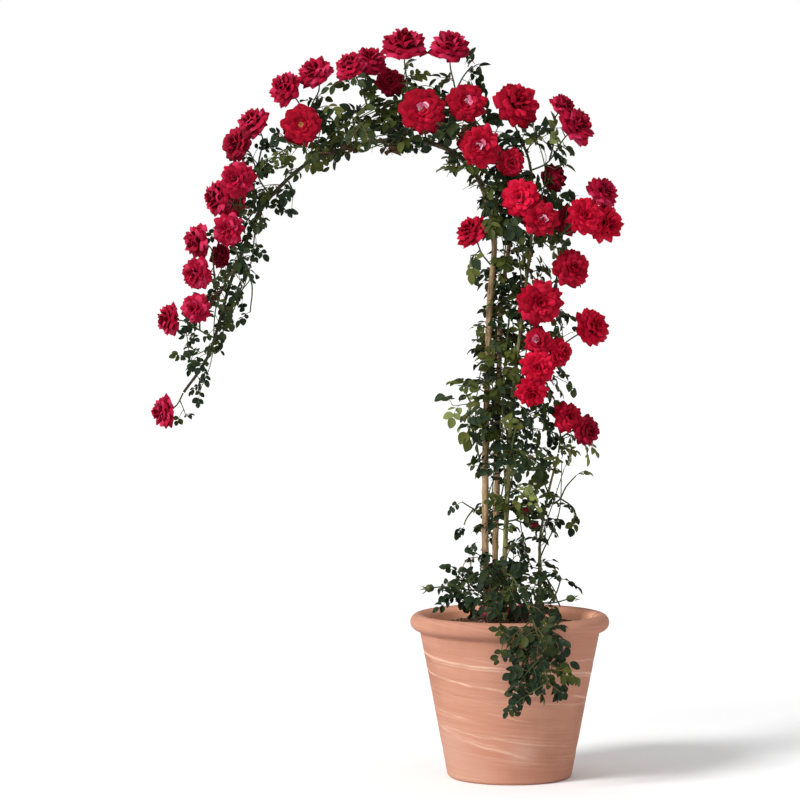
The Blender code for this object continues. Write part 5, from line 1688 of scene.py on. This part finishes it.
def prickles_on(path, radius_of, every, size, rng):
    """Hooked prickles scattered along a cane or shoot: share of its length, and points."""
    made = []
    for i in range(int(path.length / every)):
        share = (i + rng.uniform(0.1, 0.9)) * every / path.length
        point, along = path.at(share)
        side = sideways(along, rng.uniform(0, math.tau))
        across = along.cross(side)
        foot = point + side * radius_of(share) * 0.8
        long = size * rng.uniform(0.7, 1.25)
        corners = [foot + along * long * 0.42, foot + across * long * 0.17,
                   foot - along * long * 0.42, foot - across * long * 0.17,
                   foot + side * long * 0.55 - along * long * 0.02,
                   foot + side * long - along * long * 0.38]
        middle = [corners[4] + across * long * 0.07, corners[4] - across * long * 0.07]
        points = np.array([tuple(c) for c in corners[:4] + middle + corners[5:]])
        made.append((share, points))
    return made


def add_prickles(heap, prickles, reach=1.0):
    """Those prickles that stand on the part of a shoot that is there."""
    for share, points in prickles:
        if share < reach:
            heap.add(points, PRICKLE_FACES)


# -------- fallen petals

def add_fallen_petals(heap, rng):
    for k in range(FALLEN):
        x = rng.uniform(-0.050, 0.065)
        y = rng.uniform(0.0, 0.09)
        turn = rng.uniform(0, math.tau)
        lean = rng.uniform(0.15, 0.75)
        grid = petal_points(*FALLEN_FORM, rng.uniform(0, 6), 0.05)
        points = turned_petal(grid, turn, 0.6)
        points[:, 2] += lean * (points[:, 1] - points[:, 1].min())
        points = points + np.array((x, y, soil_height(x, y) + 0.003 + 0.002 * (k % 3)))
        heap.add(points, PETAL_FACES, PETAL_NAMES.index(FALLEN_NAMES[k % 4]))


# -------- stage

def put_object(name, data):
    made = bpy.data.objects.new(name, data)
    bpy.context.scene.collection.objects.link(made)
    return made


def make_stage():
    """A plain pale floor under a white sky, one soft sun and the camera."""
    reach = FLOOR_REACH
    mesh = bpy.data.meshes.new("floor")
    mesh.from_pydata([(-reach, -reach, 0), (reach, -reach, 0), (reach, reach, 0),
                      (-reach, reach, 0)], [], [(0, 1, 2, 3)])
    floor = put_object("floor", mesh)
    made, _, _ = material("floor", (0.92, 0.92, 0.92), 0.9, 0.0)
    mesh.materials.append(made)

    world = bpy.data.worlds.new("studio")
    bpy.context.scene.world = world
    world.use_nodes = True
    tree = world.node_tree
    background = tree.nodes["Background"]
    background.inputs["Color"].default_value = (1.0, 1.0, 1.0, 1.0)
    upwards = add(tree, "ShaderNodeSeparateXYZ", {0: place_of(tree, "Generated")}).outputs["Z"]
    tree.links.new(spread(tree, upwards, *SKY_TURN, SKY_LOW, SKY_HIGH),
                   background.inputs["Strength"])

    lamp = bpy.data.lights.new("sun", 'SUN')
    lamp.energy = SUN_STRENGTH
    lamp.angle = math.radians(SUN_SPREAD)
    holder = put_object("sun", lamp)
    holder.rotation_euler = (-SUN_FROM).to_track_quat('-Z', 'Y').to_euler()

    lens = bpy.data.cameras.new("camera")
    lens.lens = CAMERA_LENS
    lens.sensor_width = SENSOR
    camera = put_object("camera", lens)
    camera.location = CAMERA_PLACE
    camera.rotation_euler = (CAMERA_TARGET - CAMERA_PLACE).to_track_quat('-Z', 'Y').to_euler()
    bpy.context.scene.camera = camera
    bpy.context.scene.view_settings.view_transform = 'Standard'
    bpy.context.scene.view_settings.look = 'None'


# -------- the plant

def pick_tone(region, rng):
    return rng.choices(range(len(TONE_NAMES)), TONE_WEIGHTS[region])[0]


def leaf_tone(tone, region, rng):
    """Tone of one leaf of a shoot: mostly the shoot's own."""
    return tone if rng.random() < SAME_TONE else pick_tone(region, rng)


def region_of(point):
    """Region of a cane's shoot, by where it grows."""
    return next((region for region, x, z in REGION_LIMITS if point.x < x or point.z > z), "foot")


def add_growth(heaps, path, leaves, region, rng, keeper, radii, slot=0):
    """A shoot or twig and its leaves, cut back to the last that has room; its share left."""
    tone = pick_tone(region, rng)
    steps = [path.at(i / GROWTH_CHECKS)[0] for i in range(GROWTH_CHECKS + 1)]
    limit = next((i for i, step in enumerate(steps) if keeper.outside(step) > TWIG_STRAY),
                 len(steps))
    if sum(open_share(step) < 0.5 for step in steps) > OPEN_SHOOT * len(steps):
        return 0.0
    reach = 0.0
    for leaf in leaves:
        its_tone = leaf_tone(tone, region, rng)
        near = min(range(len(steps)), key=lambda i: (steps[i] - leaf[0]).length)
        if near < limit and add_leaf(heaps, leaf, its_tone, rng, keeper):
            reach = max(reach, near / GROWTH_CHECKS)
    if reach > 0.0:
        reach = min(1.0, reach + 0.03)
        add_cut_tube(heaps["twigs"], path, reach, radii, 5, slot)
    return reach


def add_cut_tube(heap, path, reach, radii, sides, slot):
    """The tube of a path, smooth through its corners, up to a share of it."""
    points = [tuple(p) for p in smooth_path(path.points, TUBE_STEP).points]
    kept = max(2, round(len(points) * reach))
    add_tube(heap, points[:kept], radii, sides, slot)


def last_root(stem, roots):
    """Share of a stem at the last of the roots on it."""
    reach = 0.0
    for i in range(STEM_CHECKS + 1):
        step = stem.at(i / STEM_CHECKS)[0]
        if any((step - root).length < 1.2 * stem.length / STEM_CHECKS for root in roots):
            reach = i / STEM_CHECKS
    return reach


def grow_canes(canes):
    """The four canes in their bark."""
    looks = {age: bark_look(f"bark_{age}", *bark) for age, bark in BARKS.items()}
    for number, (cane, path) in enumerate(canes.items()):
        age = "old" if cane in WOODY else "young"
        make_cane(cane, path, looks[age], f"{age}_bark", BARK_SEED + number)


def grow_sprays(canes, heaps, prickles, keeper):
    """The source's sprays with their blooms, buds, hips and leaves."""
    region_by_spray = {name: region for region, names in REGIONS.items()
                       for name in names.split()}
    for index, row in enumerate(SPRAYS):
        region = region_by_spray[row[0]]
        here = heaps[region]
        rng = random.Random(BLOOM_SEED + index)
        stems = stem_paths(row, canes)
        twigs, leaves = grow(row, index, stems)
        branches, more, on_twigs = finer_growth(row, index, stems, twigs)
        looks = BLOOM_LOOKS[row[0]].split(", ") if row[0] in BLOOM_LOOKS else []
        thorns = []
        for stem, end in zip(stems, row[3]):
            thorns.append(prickles_on(stem, lambda share: STEM_RADIUS[0], *STEM_PRICKLES, rng))
            if end[3] > BUD_SIZE:
                add_bloom(here, end, looks.pop(0) if looks else "scarlet full", rng)
            elif end[3]:
                add_bud(here, end, "bud" if row[0] == "buds" else "hip", rng)
        grown = [add_growth(here, *twig, region, rng, keeper, TWIG_RADIUS)
                 for twig in twigs + branches]
        roots = [stem.points[0] for stem in stems[1:]]
        roots += [twig.points[0] for (twig, _), reach in zip(twigs + branches, grown) if reach]
        tone = pick_tone(region, rng)
        on_twigs = [leaf for leaf, reach in zip(on_twigs, grown)
                    if leaf and reach >= TWIG_FINE_LEAF]
        for leaf in leaves + more + on_twigs:
            if add_leaf(here, leaf, leaf_tone(tone, region, rng), rng, keeper):
                roots.append(leaf[0])
        for stem, end, prickly in zip(stems, row[3], thorns):
            reach = 1.0 if end[3] else last_root(stem, roots)
            if reach > 0.0:
                add_cut_tube(here["twigs"], stem, reach, STEM_RADIUS, 6, 0)
                add_prickles(prickles, prickly, reach)


def clothe_canes(canes, heaps, prickles, keeper):
    """Leaves, shoots, spurs and prickles on the canes, and the twigs of MORE_TWIGS."""
    for number, (cane, path) in enumerate(canes.items()):
        rng = random.Random(CANE_LEAF_SEED + number)
        shoots, spurs, clothing = cane_growth(cane, path, CANE_SEED + number)
        for leaf in clothing:
            region = region_of(leaf[0])
            add_leaf(heaps[region], leaf, pick_tone(region, rng), rng, keeper)
        for shoot, leaves in shoots:
            region = region_of(shoot.at(0.5)[0])
            reach = add_growth(heaps[region], shoot, leaves, region, rng, keeper, SHOOT_RADIUS)
            thorns = prickles_on(shoot, lambda share: SHOOT_RADIUS[0], *SHOOT_PRICKLES, rng)
            add_prickles(prickles, thorns, reach)
        for spur, leaves in spurs:
            region = region_of(spur.at(0.5)[0])
            add_growth(heaps[region], spur, leaves, region, rng, keeper, TWIG_RADIUS, 1)
        add_prickles(prickles, prickles_on(
            path, lambda share: cane_radius(cane, path, share), *CANE_PRICKLES, rng))

    rng = random.Random(MORE_SEED)
    for twig, leaves in more_growth(canes, rng):
        region = region_of(twig.at(0.5)[0])
        add_growth(heaps[region], twig, leaves, region, rng, keeper, TWIG_RADIUS)


def make_plant():
    canes = {name: smooth_path(row[3]) for name, row in CANES.items()}
    grow_canes(canes)
    heaps = {region: {kind: Heap() for kind in ("twigs", "leaves", "petals", "hearts")}
             for region in REGIONS}
    prickles = Heap()
    keeper = Keeper([end for row in SPRAYS for end in row[3] if end[3] > BUD_SIZE])
    grow_sprays(canes, heaps, prickles, keeper)
    clothe_canes(canes, heaps, prickles, keeper)
    add_fallen_petals(heaps["foot"]["petals"], random.Random(FALLEN_SEED))

    looks = {"leaves": [soft_skin(*tone, *LEAF_SKIN) for tone in LEAF_TONES.items()],
             "petals": [soft_skin(*tone, *PETAL_SKIN) for tone in PETAL_TONES.items()],
             "twigs": [soft_skin(*look) for look in TWIG_LOOKS],
             "hearts": [soft_skin(*look) for look in HEART_LOOKS]}
    for region, kinds in heaps.items():
        for kind, heap in kinds.items():
            if heap.count:
                piece = heap.build(f"{kind}_{region}", looks[kind])
                names = REGIONS[region].split() if kind == "leaves" else ()
                dress(piece, "foliage", *(f"spray_{name}" for name in names))
    dress(prickles.build("prickles", [soft_skin(*PRICKLE_LOOK)], smooth=False), "old_bark")


def main():
    make_stage()
    make_pot()
    make_soil()
    make_plant()


main()
